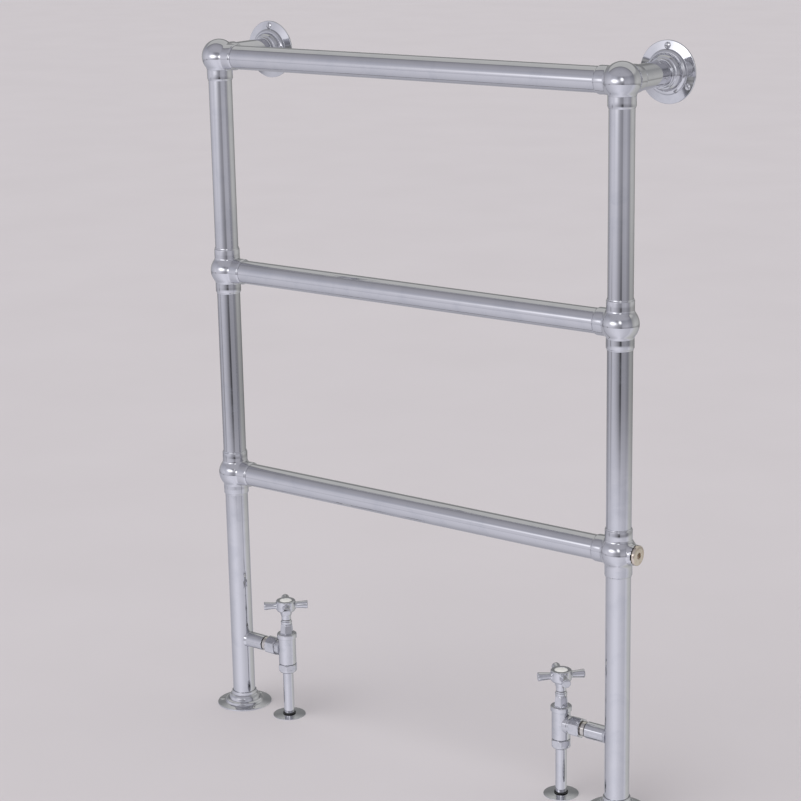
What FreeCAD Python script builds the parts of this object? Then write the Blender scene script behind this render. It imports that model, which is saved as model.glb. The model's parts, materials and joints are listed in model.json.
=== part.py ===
"""Ball-jointed heated towel rail with a pair of crosshead angle valves.

Frame: +Z up from the floor, +X along the rails, +Y towards the wall.
The origin is on the floor, midway between the legs and midway between the front of the floor
flanges and the tips of the wall screws. Millimetres throughout.
"""

import FreeCAD, Part
import math
import os

Vec = FreeCAD.Vector
X_AXIS = Vec(1, 0, 0)
Y_AXIS = Vec(0, 1, 0)
Z_AXIS = Vec(0, 0, 1)

# ---------------------------------------------------------------- driving sizes
leg_spacing = 634.0          # centre to centre of the two uprights
top_rail_z = 937.0           # heights of the three rails' centre lines
middle_rail_z = 643.0
bottom_rail_z = 351.0
wall_distance = 108.0        # uprights' plane to the wall

tube_d = 32.0
tube_wall = 1.5
ball_wall_over_tube = 7.5    # ball radius less tube radius
ball_cavity_wall = 4.5
socket_wall = 1.5
socket_depth = 13.5
socket_shoulder = 2.5        # ball centre to tube end, beyond the tube's radius
socket_throat_step = 2.5     # how far the socket's shoulder stands in over the tube's end

flange_over_tube = 23.0      # flange radius less tube radius
flange_thickness = 3.2
flange_edge = 1.8
flange_boss_height = 19.5
flange_screw_length = 12.0   # from the flange's back face into the wall
screw_shank_d = 4.4
screw_head_d = 8.6
screw_slot = 1.1

valve_offset = 85.0          # leg centre line to valve centre line
valve_axis_z = 100.0         # height of the valve's outlet
pipe_d = 15.0
pipe_wall = 0.7
valve_body_d = 24.8
valve_body_top_z = 117.5
valve_body_foot_z = 79.2
union_nut_across_flats = 24.2
compression_nut_across_flats = 24.2
bonnet_ring_d = 28.0
hub_d = 27.5
hub_top_z = 174.0
handle_reach = 31.0          # centre to tip of an arm
left_handle_angle = 41.5     # where the first arm stands when shut
right_handle_angle = 46.0
spindle_d = 8.0
valve_lift = 4.5             # plug travel from shut to fully open
rose_d = 46.5

vent_from_right_leg = 78.0   # air vent's place on the back of the top rail

# ---------------------------------------------------------------- clearances
braze_gap = 0.05             # film of braze between a tube and its socket
thread_gap = 0.10            # between a fixed thread and its hole
seat_gap = 0.05              # between a washer and what it seals on
running_gap = 0.06           # a shaft that turns in a hole
slide_gap = 0.30             # a piece that slides in a guide
turn_gap = 0.50              # between the handle and the gland below it

# ---------------------------------------------------------------- what follows from them
half_spacing = leg_spacing / 2
tube_r = tube_d / 2
bore_r = tube_r - tube_wall
ball_r = tube_r + ball_wall_over_tube
socket_r = tube_r + socket_wall
tube_end = tube_r + socket_shoulder
port_reach = tube_end + socket_depth
flange_r = tube_r + flange_over_tube
flange_seat = flange_thickness
screw_head_r = screw_head_d / 2
screw_shank_r = screw_shank_d / 2
dome_foot_r = tube_r + 11.8
screw_circle_r = (dome_foot_r + flange_r) / 2 - 0.8
pipe_r = pipe_d / 2
screw_tip_y = wall_distance + flange_screw_length
upright_y = -(screw_tip_y - flange_r) / 2
wall_y = upright_y + wall_distance
sides = {"left": -1, "right": 1}


# ---------------------------------------------------------------- shapes
def turned(profile):
    """Solid turned about Z from (radius, height) points; (mid r, mid h, r, h) is an arc."""
    edges = []
    start = profile[0]
    here = Vec(start[0], 0, start[1])
    for step in list(profile[1:]) + [start]:
        there = Vec(step[-2], 0, step[-1])
        if len(step) == 4:
            edges.append(Part.Arc(here, Vec(step[0], 0, step[1]), there).toShape())
        elif here.distanceToPoint(there) > 1e-7:
            edges.append(Part.LineSegment(here, there).toShape())
        here = there
    return Part.Face(Part.Wire(edges)).revolve(Vec(), Z_AXIS, 360)


def rod(radius, start, end):
    return Part.makeCylinder(radius, end - start, Vec(0, 0, start), Z_AXIS)


def ring(outer, inner, start, end):
    return rod(outer, start, end).cut(rod(inner, start, end))


def hexagon(across_flats, start, end, top_scale=1.0):
    """Hexagonal bar about Z, a flat facing +Y, tapered when top_scale isn't 1."""
    corner = across_flats / math.sqrt(3)
    outlines = []
    for height, scale in ((start, 1.0), (end, top_scale)):
        corners = [Vec(corner * scale * math.cos(math.radians(60 * k)),
                       corner * scale * math.sin(math.radians(60 * k)), height)
                   for k in range(7)]
        outlines.append(Part.makePolygon(corners))
    return Part.makeLoft(outlines, True, True)


def crowned_hexagon(across_flats, start, end, crown):
    """Hexagonal nut with the corners turned off at both ends."""
    corner = across_flats / math.sqrt(3)
    flat = across_flats / 2
    envelope = turned([(0, start), (flat, start), (corner + 0.01, start + crown),
                       (corner + 0.01, end - crown), (flat, end), (0, end)])
    return hexagon(across_flats, start, end).common(envelope)


def o_ring(inner, section, middle):
    """Round cord ring about Z: inner radius, section radius and height of its middle."""
    return Part.makeTorus(inner + section, section, Vec(0, 0, middle), Z_AXIS)


def crown(radius, height, rise):
    """Arc step from the rim of a crowned face up to its centre on the axis."""
    sphere_r = (radius ** 2 + rise ** 2) / (2 * rise)
    half_rise = sphere_r - math.sqrt(sphere_r ** 2 - radius ** 2 / 4)
    return (radius / 2, height + rise - half_rise, 0, height + rise)


def arc_point(centre, radius, angle):
    """Point (r, h) on a circle, the angle measured from the r axis in degrees."""
    turn = math.radians(angle)
    return (centre[0] + radius * math.cos(turn), centre[1] + radius * math.sin(turn))


def placed(shape, place, along=Z_AXIS):
    """A copy with its Z axis turned to lie along a direction, then moved to its place."""
    out = shape.copy()
    out.Placement = FreeCAD.Placement(place, FreeCAD.Rotation(Z_AXIS, along)).multiply(out.Placement)
    return out


def spun(shape, angle):
    """A copy turned about Z."""
    out = shape.copy()
    out.rotate(Vec(), Z_AXIS, angle)
    return out


# ---------------------------------------------------------------- ball joints and tubes
def ball_joint(tube_ports, blind_ports=(), plug_port=None):
    """Hollow brass ball with a tube socket on each port; a blind port takes a tube but no water."""
    blend = 1.4
    blend_h = math.sqrt((ball_r + blend) ** 2 - (socket_r + blend) ** 2)
    blend_centre = (socket_r + blend, blend_h)
    foot_angle = math.degrees(math.atan2(blend_h, socket_r + blend))
    foot = arc_point((0, 0), ball_r - 0.02, foot_angle)
    middle = arc_point(blend_centre, blend, 180 + foot_angle / 2)
    lip = 0.9
    collar = turned([(0, 0), foot, middle + (socket_r, blend_h), (socket_r, port_reach - 2.6 * lip),
                     (socket_r - lip, port_reach - 1.3 * lip), (socket_r - lip, port_reach),
                     (0, port_reach)])
    socket = rod(tube_r + braze_gap, tube_end, port_reach + 1)
    throat = rod(tube_r - socket_throat_step, 0, tube_end + 1)
    solid = Part.makeSphere(ball_r)
    hollow = Part.makeSphere(ball_r - ball_cavity_wall)
    for port in list(tube_ports) + list(blind_ports):
        solid = solid.fuse(placed(collar, Vec(), port))
        hollow = hollow.fuse(placed(socket, Vec(), port))
    for port in tube_ports:
        hollow = hollow.fuse(placed(throat, Vec(), port))
    if plug_port:
        solid = solid.fuse(placed(rod(plug_boss_r, 0, plug_boss_reach), Vec(), plug_port))
        hollow = hollow.fuse(placed(rod(plug_thread_r + thread_gap, 0, plug_boss_reach + 1),
                                    Vec(), plug_port))
    return solid.cut(hollow).removeSplitter()


def tube(length):
    return ring(tube_r, bore_r, 0, length)


def crosswise_tube():
    """What a brazed fitting's end is saddled to: a tube lying along X, with room for braze."""
    return Part.makeCylinder(tube_r + braze_gap, 4 * tube_r, Vec(-2 * tube_r, 0, 0), X_AXIS)


# Blanking plug: screwed into the outer side of the bottom right ball, on an O-ring.
plug_boss_r = 13.5
plug_boss_reach = ball_r + 1.2
plug_thread_r = 10.0
plug_thread_length = 8.5
plug_head_r = 13.0
plug_head_thickness = 3.4
plug_key_across_flats = 8.0
plug_key_depth = 5.5
plug_ring_section = 0.65


def blanking_plug():
    seat = plug_boss_reach + 2 * plug_ring_section + 2 * seat_gap
    face = seat + plug_head_thickness
    body = turned([(0, plug_boss_reach - plug_thread_length),
                   (plug_thread_r - 1, plug_boss_reach - plug_thread_length),
                   (plug_thread_r, plug_boss_reach - plug_thread_length + 1),
                   (plug_thread_r, seat), (plug_head_r - 0.3, seat), (plug_head_r, seat + 0.3),
                   (plug_head_r, face - 1.4),
                   (plug_head_r - 0.4, face - 0.4, plug_head_r - 1.4, face),
                   crown(plug_head_r - 1.4, face, 0.4)])
    key = hexagon(plug_key_across_flats, face - plug_key_depth, face + 2)
    return body.cut(key)


def plug_o_ring():
    middle = plug_boss_reach + seat_gap + plug_ring_section
    return o_ring(plug_thread_r + seat_gap, plug_ring_section, middle)


# ---------------------------------------------------------------- flanges and their screws
def flange():
    """Cast flange: thin skirt, domed step, ring groove and a stepped boss around the tube."""
    groove_r = tube_r + 7.0
    boss_r = tube_r + 5.4
    neck_r = tube_r + 1.8
    step_h = flange_thickness + 4.4
    boss_h = flange_boss_height - 5.4
    profile = [(0, 0), (flange_r, 0), (flange_r, flange_edge - 0.6),
               (flange_r - 0.2, flange_edge - 0.2, flange_r - 0.6, flange_edge),
               (dome_foot_r, flange_thickness),
               (dome_foot_r - 0.8, step_h - 1.4, dome_foot_r - 3.0, step_h - 0.2),
               (groove_r + 0.7, step_h), (groove_r, step_h - 1.0), (groove_r - 0.7, step_h),
               (boss_r + 0.3, (step_h + boss_h) / 2, boss_r - 1.6, boss_h),
               (neck_r + 0.9, boss_h + 0.5), (neck_r, boss_h + 1.4),
               (neck_r, flange_boss_height - 1.2),
               (neck_r - 0.3, flange_boss_height - 0.3, neck_r - 1.2, flange_boss_height),
               (0, flange_boss_height)]
    body = turned(profile).cut(rod(tube_r + braze_gap, flange_seat, flange_boss_height + 1))
    sink = turned([(0, -1), (screw_shank_r + 0.3, -1), (screw_shank_r + 0.3, sink_foot_h),
                   (screw_head_r + seat_gap + 0.05, sink_mouth_h),
                   (screw_head_r + seat_gap + 0.05, step_h + 2), (0, step_h + 2)])
    for k in range(3):
        body = body.cut(spun(placed(sink, Vec(screw_circle_r, 0, 0)), 120 * k))
    return body


sink_mouth_h = flange_edge + 0.7
sink_foot_h = sink_mouth_h - 2.0
screw_point = 4.0


def flange_screw(tip):
    """Slotted raised-countersunk screw about Z; its neck tapers out from the shank to the head."""
    neck_r = screw_shank_r + 0.1
    rim = sink_mouth_h + seat_gap
    shank = [(0, tip), (screw_shank_r, tip)]
    if tip < 0:
        shank = [(0, tip), (screw_shank_r * 0.15, tip), (screw_shank_r, tip + screw_point),
                 (screw_shank_r, 0)]
    body = turned(shank + [(neck_r, rim - (screw_head_r - neck_r)), (screw_head_r, rim),
                           crown(screw_head_r, rim, 1.0)])
    slot = Part.makeBox(screw_head_d + 1, screw_slot, 2.0,
                        Vec(-screw_head_r - 0.5, -screw_slot / 2, rim - 0.5))
    return body.cut(slot)


def screw_set(tip, first_angle):
    """Three screws about Z on the flange's circle; each slot lies along its radius."""
    screw = placed(flange_screw(tip), Vec(screw_circle_r, 0, 0))
    return [spun(screw, first_angle + 120 * k) for k in range(3)]


# ---------------------------------------------------------------- union between leg and valve
# Distances along the union are measured out from the leg's centre line. The pieces are laid out
# back from the valve's outlet, so the stub takes up whatever length is left.
stub_r = 11.0
tail_thread_r = 8.5
tail_thread_length = 12.0
tail_ring_section = 0.65
tail_shoulder_r = 10.0
tail_shoulder_length = 6.8
tail_neck_r = 8.0
tail_bore_r = 5.8
tail_collar_r = 10.1
tail_collar_thickness = 3.6
union_thread_r = 10.8
union_nut_length = 16.0
union_nut_back = 2.2
union_nut_standoff = 1.2
outlet_over_body = 14.6
outlet_face = valve_offset - valve_body_d / 2 - outlet_over_body
tail_end = outlet_face - 2 * seat_gap
tail_collar_start = tail_end - tail_collar_thickness
union_nut_start = tail_collar_start - 2 * thread_gap - union_nut_back
union_nut_end = union_nut_start + union_nut_length
tail_shoulder_end = union_nut_start - union_nut_standoff
stub_end = tail_shoulder_end - tail_shoulder_length


def valve_stub():
    """Stub brazed square to the leg, its end saddled to the tube."""
    body = turned([(0, 0), (stub_r, 0), (stub_r, stub_end - 0.8), (stub_r - 0.8, stub_end),
                   (0, stub_end)])
    body = body.cut(rod(tail_thread_r + thread_gap, 0, stub_end + 1))
    return body.cut(crosswise_tube())


def union_tail():
    thread_start = stub_end - tail_thread_length
    shoulder_start = stub_end + 2 * tail_ring_section + 2 * seat_gap
    body = turned([(0, thread_start), (tail_thread_r, thread_start),
                   (tail_thread_r, shoulder_start), (tail_shoulder_r - 0.3, shoulder_start),
                   (tail_shoulder_r, shoulder_start + 0.3), (tail_shoulder_r, tail_shoulder_end - 0.5),
                   (tail_shoulder_r - 0.5, tail_shoulder_end), (tail_neck_r, tail_shoulder_end),
                   (tail_neck_r, tail_collar_start), (tail_collar_r, tail_collar_start),
                   (tail_collar_r, tail_end - 1), (tail_collar_r - 1, tail_end), (0, tail_end)])
    return body.cut(rod(tail_bore_r, thread_start - 1, tail_end + 1))


def tail_o_ring():
    return o_ring(tail_thread_r + seat_gap, tail_ring_section, stub_end + seat_gap + tail_ring_section)


def union_nut():
    nut = crowned_hexagon(union_nut_across_flats, union_nut_start, union_nut_end, 1.3)
    nut = nut.cut(rod(tail_neck_r + thread_gap, union_nut_start - 1, union_nut_end + 1))
    cavity = rod(union_thread_r + thread_gap, union_nut_start + union_nut_back, union_nut_end + 1)
    return nut.cut(cavity)


# ---------------------------------------------------------------- valve
# Built about Z at its true heights; the outlet runs towards the leg.
valve_body_r = valve_body_d / 2
pipe_top_z = valve_axis_z - 24.0
inlet_thread_r = pipe_r + 2.9
inlet_mouth_z = valve_body_foot_z - 10.0
passage_r = 6.0
seat_z = valve_axis_z - 7.0
seat_bore_r = 5.5
seat_land_r = 7.0
chamber_r = 8.5
bonnet_thread_r = 9.0
bonnet_thread_length = 11.5
bonnet_ring_top_z = valve_body_top_z + 7.0
bonnet_top_z = bonnet_ring_top_z + 14.5
bonnet_foot_across_flats = 17.2
bonnet_taper = 0.86
plug_guide_across_flats = 11.0
spindle_r = spindle_d / 2
spindle_thread_r = 3.0
collar_r = 5.2
collar_height = 2.5
gland_top_z = bonnet_top_z + 6.0
gland_r = 8.0
gland_chamber_r = 6.0
gland_plunger_r = gland_chamber_r - thread_gap
packing_height = 4.0


def valve_body():
    """Angle body: pipe socket below, seat in the middle, bonnet thread above, outlet to the leg."""
    body = turned([(0, inlet_mouth_z), (inlet_thread_r - 0.5, inlet_mouth_z),
                   (inlet_thread_r, inlet_mouth_z + 0.5), (inlet_thread_r, valve_body_foot_z),
                   (valve_body_r - 0.8, valve_body_foot_z), (valve_body_r, valve_body_foot_z + 0.8),
                   (valve_body_r, valve_body_top_z - 0.4), (valve_body_r - 0.4, valve_body_top_z),
                   (0, valve_body_top_z)])
    outlet_length = valve_offset - outlet_face
    outlet = turned([(0, 0), (union_thread_r, 0), (union_thread_r, outlet_length - 0.6),
                     (union_thread_r - 0.6, outlet_length), (0, outlet_length)])
    collar = turned([(0, 0), (union_thread_r + 1.0, 0), (union_thread_r + 1.0, valve_body_r + 1.2),
                     (union_thread_r, valve_body_r + 2.0), (0, valve_body_r + 2.0)])
    centre = Vec(0, 0, valve_axis_z)
    body = body.fuse(placed(outlet, centre, X_AXIS)).fuse(placed(collar, centre, X_AXIS))
    inside = turned([(0, inlet_mouth_z - 1), (pipe_r + 1.9, inlet_mouth_z - 1),
                     (pipe_r + 1.9, inlet_mouth_z), (pipe_r + thread_gap, inlet_mouth_z + 3),
                     (pipe_r + thread_gap, pipe_top_z), (passage_r, pipe_top_z),
                     (passage_r, seat_z - 5), (seat_bore_r, seat_z - 5), (seat_bore_r, seat_z),
                     (seat_land_r, seat_z), (seat_land_r, seat_z - 1), (chamber_r, seat_z - 1),
                     (chamber_r, bonnet_bottom_z - 1.0),
                     (bonnet_thread_r + thread_gap, bonnet_bottom_z - 1.0),
                     (bonnet_thread_r + thread_gap, valve_body_top_z + 1), (0, valve_body_top_z + 1)])
    body = body.cut(inside)
    outlet_bore = placed(rod(passage_r, 0, outlet_length + 1), centre, X_AXIS)
    return body.cut(outlet_bore).removeSplitter()


bonnet_bottom_z = valve_body_top_z - bonnet_thread_length
collar_bottom_z = bonnet_bottom_z + 14.9
collar_ceiling_z = collar_bottom_z + collar_height + slide_gap
packing_bottom_z = bonnet_top_z - 6.0


def bonnet():
    """Screwed bonnet: round ring on the body, tapered hexagon above, guide and packing inside."""
    ring_r = bonnet_ring_d / 2
    lower = turned([(0, bonnet_bottom_z), (bonnet_thread_r - 0.6, bonnet_bottom_z),
                    (bonnet_thread_r, bonnet_bottom_z + 0.6), (bonnet_thread_r, valve_body_top_z),
                    (ring_r - 0.9, valve_body_top_z), (ring_r, valve_body_top_z + 0.9),
                    (ring_r, bonnet_ring_top_z - 1.4),
                    (ring_r - 0.4, bonnet_ring_top_z - 0.4, ring_r - 1.4, bonnet_ring_top_z),
                    (0, bonnet_ring_top_z)])
    upper = hexagon(bonnet_foot_across_flats, bonnet_ring_top_z - 0.5, bonnet_top_z, bonnet_taper)
    crown_r = bonnet_foot_across_flats * bonnet_taper / 2
    crown = turned([(0, bonnet_ring_top_z - 1), (2 * crown_r, bonnet_ring_top_z - 1),
                    (2 * crown_r, bonnet_top_z - 2.4), (crown_r + 0.2, bonnet_top_z),
                    (0, bonnet_top_z)])
    body = lower.fuse(upper.common(crown))
    guide = hexagon(plug_guide_across_flats + 2 * slide_gap, bonnet_bottom_z - 1, collar_bottom_z - 0.5)
    body = body.cut(guide)
    inside = turned([(0, collar_bottom_z - 1), (collar_r + slide_gap, collar_bottom_z - 1),
                     (collar_r + slide_gap, collar_ceiling_z),
                     (spindle_r + running_gap, collar_ceiling_z),
                     (spindle_r + running_gap, packing_bottom_z), (gland_chamber_r, packing_bottom_z),
                     (gland_chamber_r, bonnet_top_z + 1), (0, bonnet_top_z + 1)])
    return body.cut(inside)


def gland_packing():
    return ring(gland_chamber_r - seat_gap, spindle_r + running_gap,
                packing_bottom_z + seat_gap, packing_bottom_z + packing_height)


def gland_nut():
    """Round gland nut that presses the packing down around the spindle."""
    foot = packing_bottom_z + packing_height + seat_gap
    body = turned([(0, foot), (gland_plunger_r, foot), (gland_plunger_r, bonnet_top_z + 0.2),
                   (gland_r - 0.6, bonnet_top_z + 0.2), (gland_r, bonnet_top_z + 0.8),
                   (gland_r, gland_top_z - 2.6), (gland_r - 0.9, gland_top_z - 2.1),
                   (gland_r - 0.9, gland_top_z - 0.9), (gland_r - 1.8, gland_top_z),
                   (0, gland_top_z)])
    return body.cut(rod(spindle_r + running_gap, foot - 1, gland_top_z + 1))


# Spindle, and the plug it draws up: the plug is a long nut that the guide keeps from turning.
plug_top_z = collar_bottom_z - valve_lift - 0.9
spindle_foot_z = seat_z + 7.2 + valve_lift
plug_disc_r = 7.2
washer_thickness = 3.0
washer_r = plug_disc_r - 0.4
stud_r = 1.5
handle_neck_z = gland_top_z + turn_gap
spindle_top_z = handle_neck_z + 14.0
spindle_square = 5.6


def spindle():
    shank = turned([(0, spindle_foot_z), (spindle_thread_r, spindle_foot_z),
                    (spindle_thread_r, collar_bottom_z), (collar_r, collar_bottom_z),
                    (collar_r, collar_bottom_z + collar_height),
                    (spindle_r, collar_bottom_z + collar_height), (spindle_r, handle_neck_z + 3),
                    (0, handle_neck_z + 3)])
    square = Part.makeBox(spindle_square, spindle_square, spindle_top_z - handle_neck_z - 2,
                          Vec(-spindle_square / 2, -spindle_square / 2, handle_neck_z + 2))
    hole = rod(handle_screw_r + thread_gap, spindle_top_z - handle_screw_grip, spindle_top_z + 1)
    return shank.fuse(square).cut(hole)


def valve_plug():
    """Hexagonal nut with a disc and a riveted stud that holds the washer."""
    disc_z = seat_z + seat_gap + washer_thickness
    nut = hexagon(plug_guide_across_flats, disc_z + 3.0, plug_top_z)
    disc = turned([(0, seat_z - 1.1), (stud_r + 0.9, seat_z - 1.1), (stud_r + 1.0, seat_z - 0.1),
                   (stud_r, seat_z - 0.1), (stud_r, disc_z), (plug_disc_r, disc_z),
                   (plug_disc_r, disc_z + 2.4), (plug_disc_r - 0.6, disc_z + 3.0),
                   (0, disc_z + 3.0)])
    return disc.fuse(nut).cut(rod(spindle_thread_r + running_gap, disc_z + 3.2, plug_top_z + 1))


def seat_washer():
    return ring(washer_r, stud_r + seat_gap, seat_z + seat_gap, seat_z + seat_gap + washer_thickness)


# ---------------------------------------------------------------- handle
hub_r = hub_d / 2
hub_bottom_z = hub_top_z - 16.0
hub_neck_r = 6.8
arm_z = hub_top_z - 7.6
arm_root_r = 4.7
arm_tip_r = 5.8
button_r = 8.7
button_depth = 2.6
button_crown = 0.5
handle_screw_r = 1.75
handle_screw_grip = 6.0
screw_head_height = 2.2
screw_well_r = 4.2


def crosshead():
    """Crosshead handle: flared neck, round hub and four arms that widen to their tips."""
    flare = hub_bottom_z - handle_neck_z
    hub = turned([(0, handle_neck_z), (hub_neck_r - 0.4, handle_neck_z),
                  (hub_neck_r, handle_neck_z + 0.4), (hub_neck_r, handle_neck_z + 0.35 * flare),
                  (hub_neck_r + 1.1, handle_neck_z + 0.8 * flare, hub_r - 3.2, hub_bottom_z),
                  (hub_r - 0.9, hub_bottom_z + 0.9, hub_r, hub_bottom_z + 3.2),
                  (hub_r, hub_top_z - 1.6),
                  (hub_r - 0.4, hub_top_z - 0.5, hub_r - 1.4, hub_top_z), (0, hub_top_z)])
    arm = turned([(0, 0), (arm_root_r + 0.4, 0), (arm_root_r, hub_r + 2.0),
                  ((arm_root_r + arm_tip_r) / 2 - 0.15, (hub_r + handle_reach) / 2 + 1.0,
                   arm_tip_r, handle_reach - 2.6),
                  (arm_tip_r, handle_reach - 0.9), (arm_tip_r - 0.9, handle_reach),
                  (0, handle_reach)])
    for k in range(4):
        direction = Vec(math.cos(math.pi / 2 * k), math.sin(math.pi / 2 * k), 0)
        hub = hub.fuse(placed(arm, Vec(0, 0, arm_z), direction))
    recess = rod(button_r + seat_gap, hub_top_z - button_depth, hub_top_z + 1)
    well = rod(screw_well_r, spindle_top_z, hub_top_z)
    half = spindle_square / 2 + thread_gap
    square = Part.makeBox(2 * half, 2 * half, spindle_top_z - handle_neck_z,
                          Vec(-half, -half, handle_neck_z + 2))
    round_socket = rod(spindle_r + thread_gap, handle_neck_z - 1, handle_neck_z + 3.2)
    for cutter in (recess, well, square, round_socket):
        hub = hub.cut(cutter)
    return hub.removeSplitter()


def handle_screw():
    """Small cheese-head screw that holds the handle down on the spindle's square."""
    seat = spindle_top_z + seat_gap
    body = rod(handle_screw_r, spindle_top_z - handle_screw_grip + 0.5, seat + 0.5)
    head = turned([(0, seat), (screw_well_r - 0.4, seat), (screw_well_r - 0.4, seat + screw_head_height),
                   (0, seat + screw_head_height)])
    slot = Part.makeBox(10, 0.9, 1.0, Vec(-5, -0.45, seat + screw_head_height - 0.9))
    return body.fuse(head).cut(slot)


def ceramic_button():
    """White glazed disc pressed into the top of the hub, slightly crowned."""
    foot = hub_top_z - button_depth + seat_gap
    rim = hub_top_z - button_crown
    return turned([(0, foot), (button_r, foot), (button_r, rim), crown(button_r, rim, button_crown)])


# ---------------------------------------------------------------- supply pipe and its fittings
def compression_nut():
    """Compression nut about the pipe, its lower end rounded off."""
    bottom = inlet_mouth_z - 4.4
    top = valve_body_foot_z - 0.9
    corner = compression_nut_across_flats / math.sqrt(3) + 0.01
    flat = compression_nut_across_flats / 2
    envelope = turned([(0, bottom), (pipe_r + 1.6, bottom),
                       (flat - 1.0, bottom + 1.6, corner - 0.5, bottom + 5.6),
                       (corner, bottom + 7.0), (corner, top - 1.2), (flat, top), (0, top)])
    nut = hexagon(compression_nut_across_flats, bottom, top).common(envelope)
    inside = turned([(0, bottom - 1), (pipe_r + 0.35, bottom - 1), (pipe_r + 0.35, bottom + 2.6),
                     (pipe_r + 2.0, bottom + 4.2), (inlet_thread_r + thread_gap, bottom + 4.2),
                     (inlet_thread_r + thread_gap, top + 1), (0, top + 1)])
    return nut.cut(inside)


def olive():
    """Brass compression ring on the pipe, between the nut and the body's mouth."""
    start = inlet_mouth_z - 1.4
    return turned([(pipe_r + braze_gap, start), (pipe_r + 0.6, start), (pipe_r + 1.4, start + 1.2),
                   (pipe_r + 1.4, start + 1.6), (pipe_r + 0.5, start + 3.4),
                   (pipe_r + braze_gap, start + 3.4)])


def supply_pipe():
    return ring(pipe_r, pipe_r - pipe_wall, 0, pipe_top_z - seat_gap)


rose_top = 2.0


def floor_rose():
    """Thin spun cover plate on the floor around the pipe."""
    edge = rose_d / 2
    inner = pipe_r + 0.3
    return turned([(inner, 0), (edge, 0), (edge, 0.7), (edge - 0.3, 1.0),
                   ((edge + inner) / 2, 1.5, inner, rose_top)])


def rose_o_ring():
    section = 0.85
    return o_ring(pipe_r + seat_gap, section, rose_top + seat_gap + section)


# ---------------------------------------------------------------- air vent
vent_body_across_flats = 10.0
vent_thread_r = 4.0
vent_length = 9.0
vent_needle_r = 2.0
vent_key = 5.0


def air_vent_body():
    """Vent plug about Z from the rail's centre line, brazed into the back of the top rail."""
    body = rod(vent_thread_r, bore_r - 2, tube_r + 1)
    head = crowned_hexagon(vent_body_across_flats, tube_r - 1.2, tube_r + vent_length, 0.7)
    head = head.cut(crosswise_tube())
    bore = rod(vent_needle_r + running_gap, bore_r + 1.0, tube_r + vent_length + 1)
    drain = rod(0.9, bore_r - 3, bore_r + 2)
    return body.fuse(head).cut(bore).cut(drain)


def air_vent_screw():
    """Needle with a square key head, turned with a radiator key."""
    top = tube_r + vent_length
    needle = turned([(0, bore_r + 1.6), (0.6, bore_r + 1.6), (vent_needle_r, bore_r + 3.0),
                     (vent_needle_r, top + 0.6), (0, top + 0.6)])
    head = Part.makeBox(vent_key, vent_key, 5.0, Vec(-vent_key / 2, -vent_key / 2, top + 0.5))
    corners = turned([(0, top + 0.4), (vent_key * 0.72, top + 0.4), (vent_key * 0.72, top + 4.6),
                      (vent_key / 2, top + 5.5), (0, top + 5.5)])
    return needle.fuse(head.common(corners))


# ---------------------------------------------------------------- assembly
parts = {}
rail_heights = {"top": top_rail_z, "middle": middle_rail_z, "bottom": bottom_rail_z}
stud_hole = placed(rod(vent_thread_r + braze_gap, 0, tube_r + 1),
                   Vec(half_spacing - vent_from_right_leg, upright_y, top_rail_z), Y_AXIS)

for level, height in rail_heights.items():
    start = Vec(-half_spacing + tube_end, upright_y, height)
    rail = placed(tube(leg_spacing - 2 * tube_end), start, X_AXIS)
    parts[level + "_rail"] = rail.cut(stud_hole) if level == "top" else rail

upright_spans = {"upper": (middle_rail_z, top_rail_z), "lower": (bottom_rail_z, middle_rail_z)}
screws = {"wall_screws": [], "floor_screws": []}
pairs = {"leg_blanks": [], "compression_nuts": [], "union_nuts": [], "gland_nuts": [],
         "floor_roses": [], "olives": [], "rose_o_rings": [], "tail_o_rings": [],
         "gland_packings": []}

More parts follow.
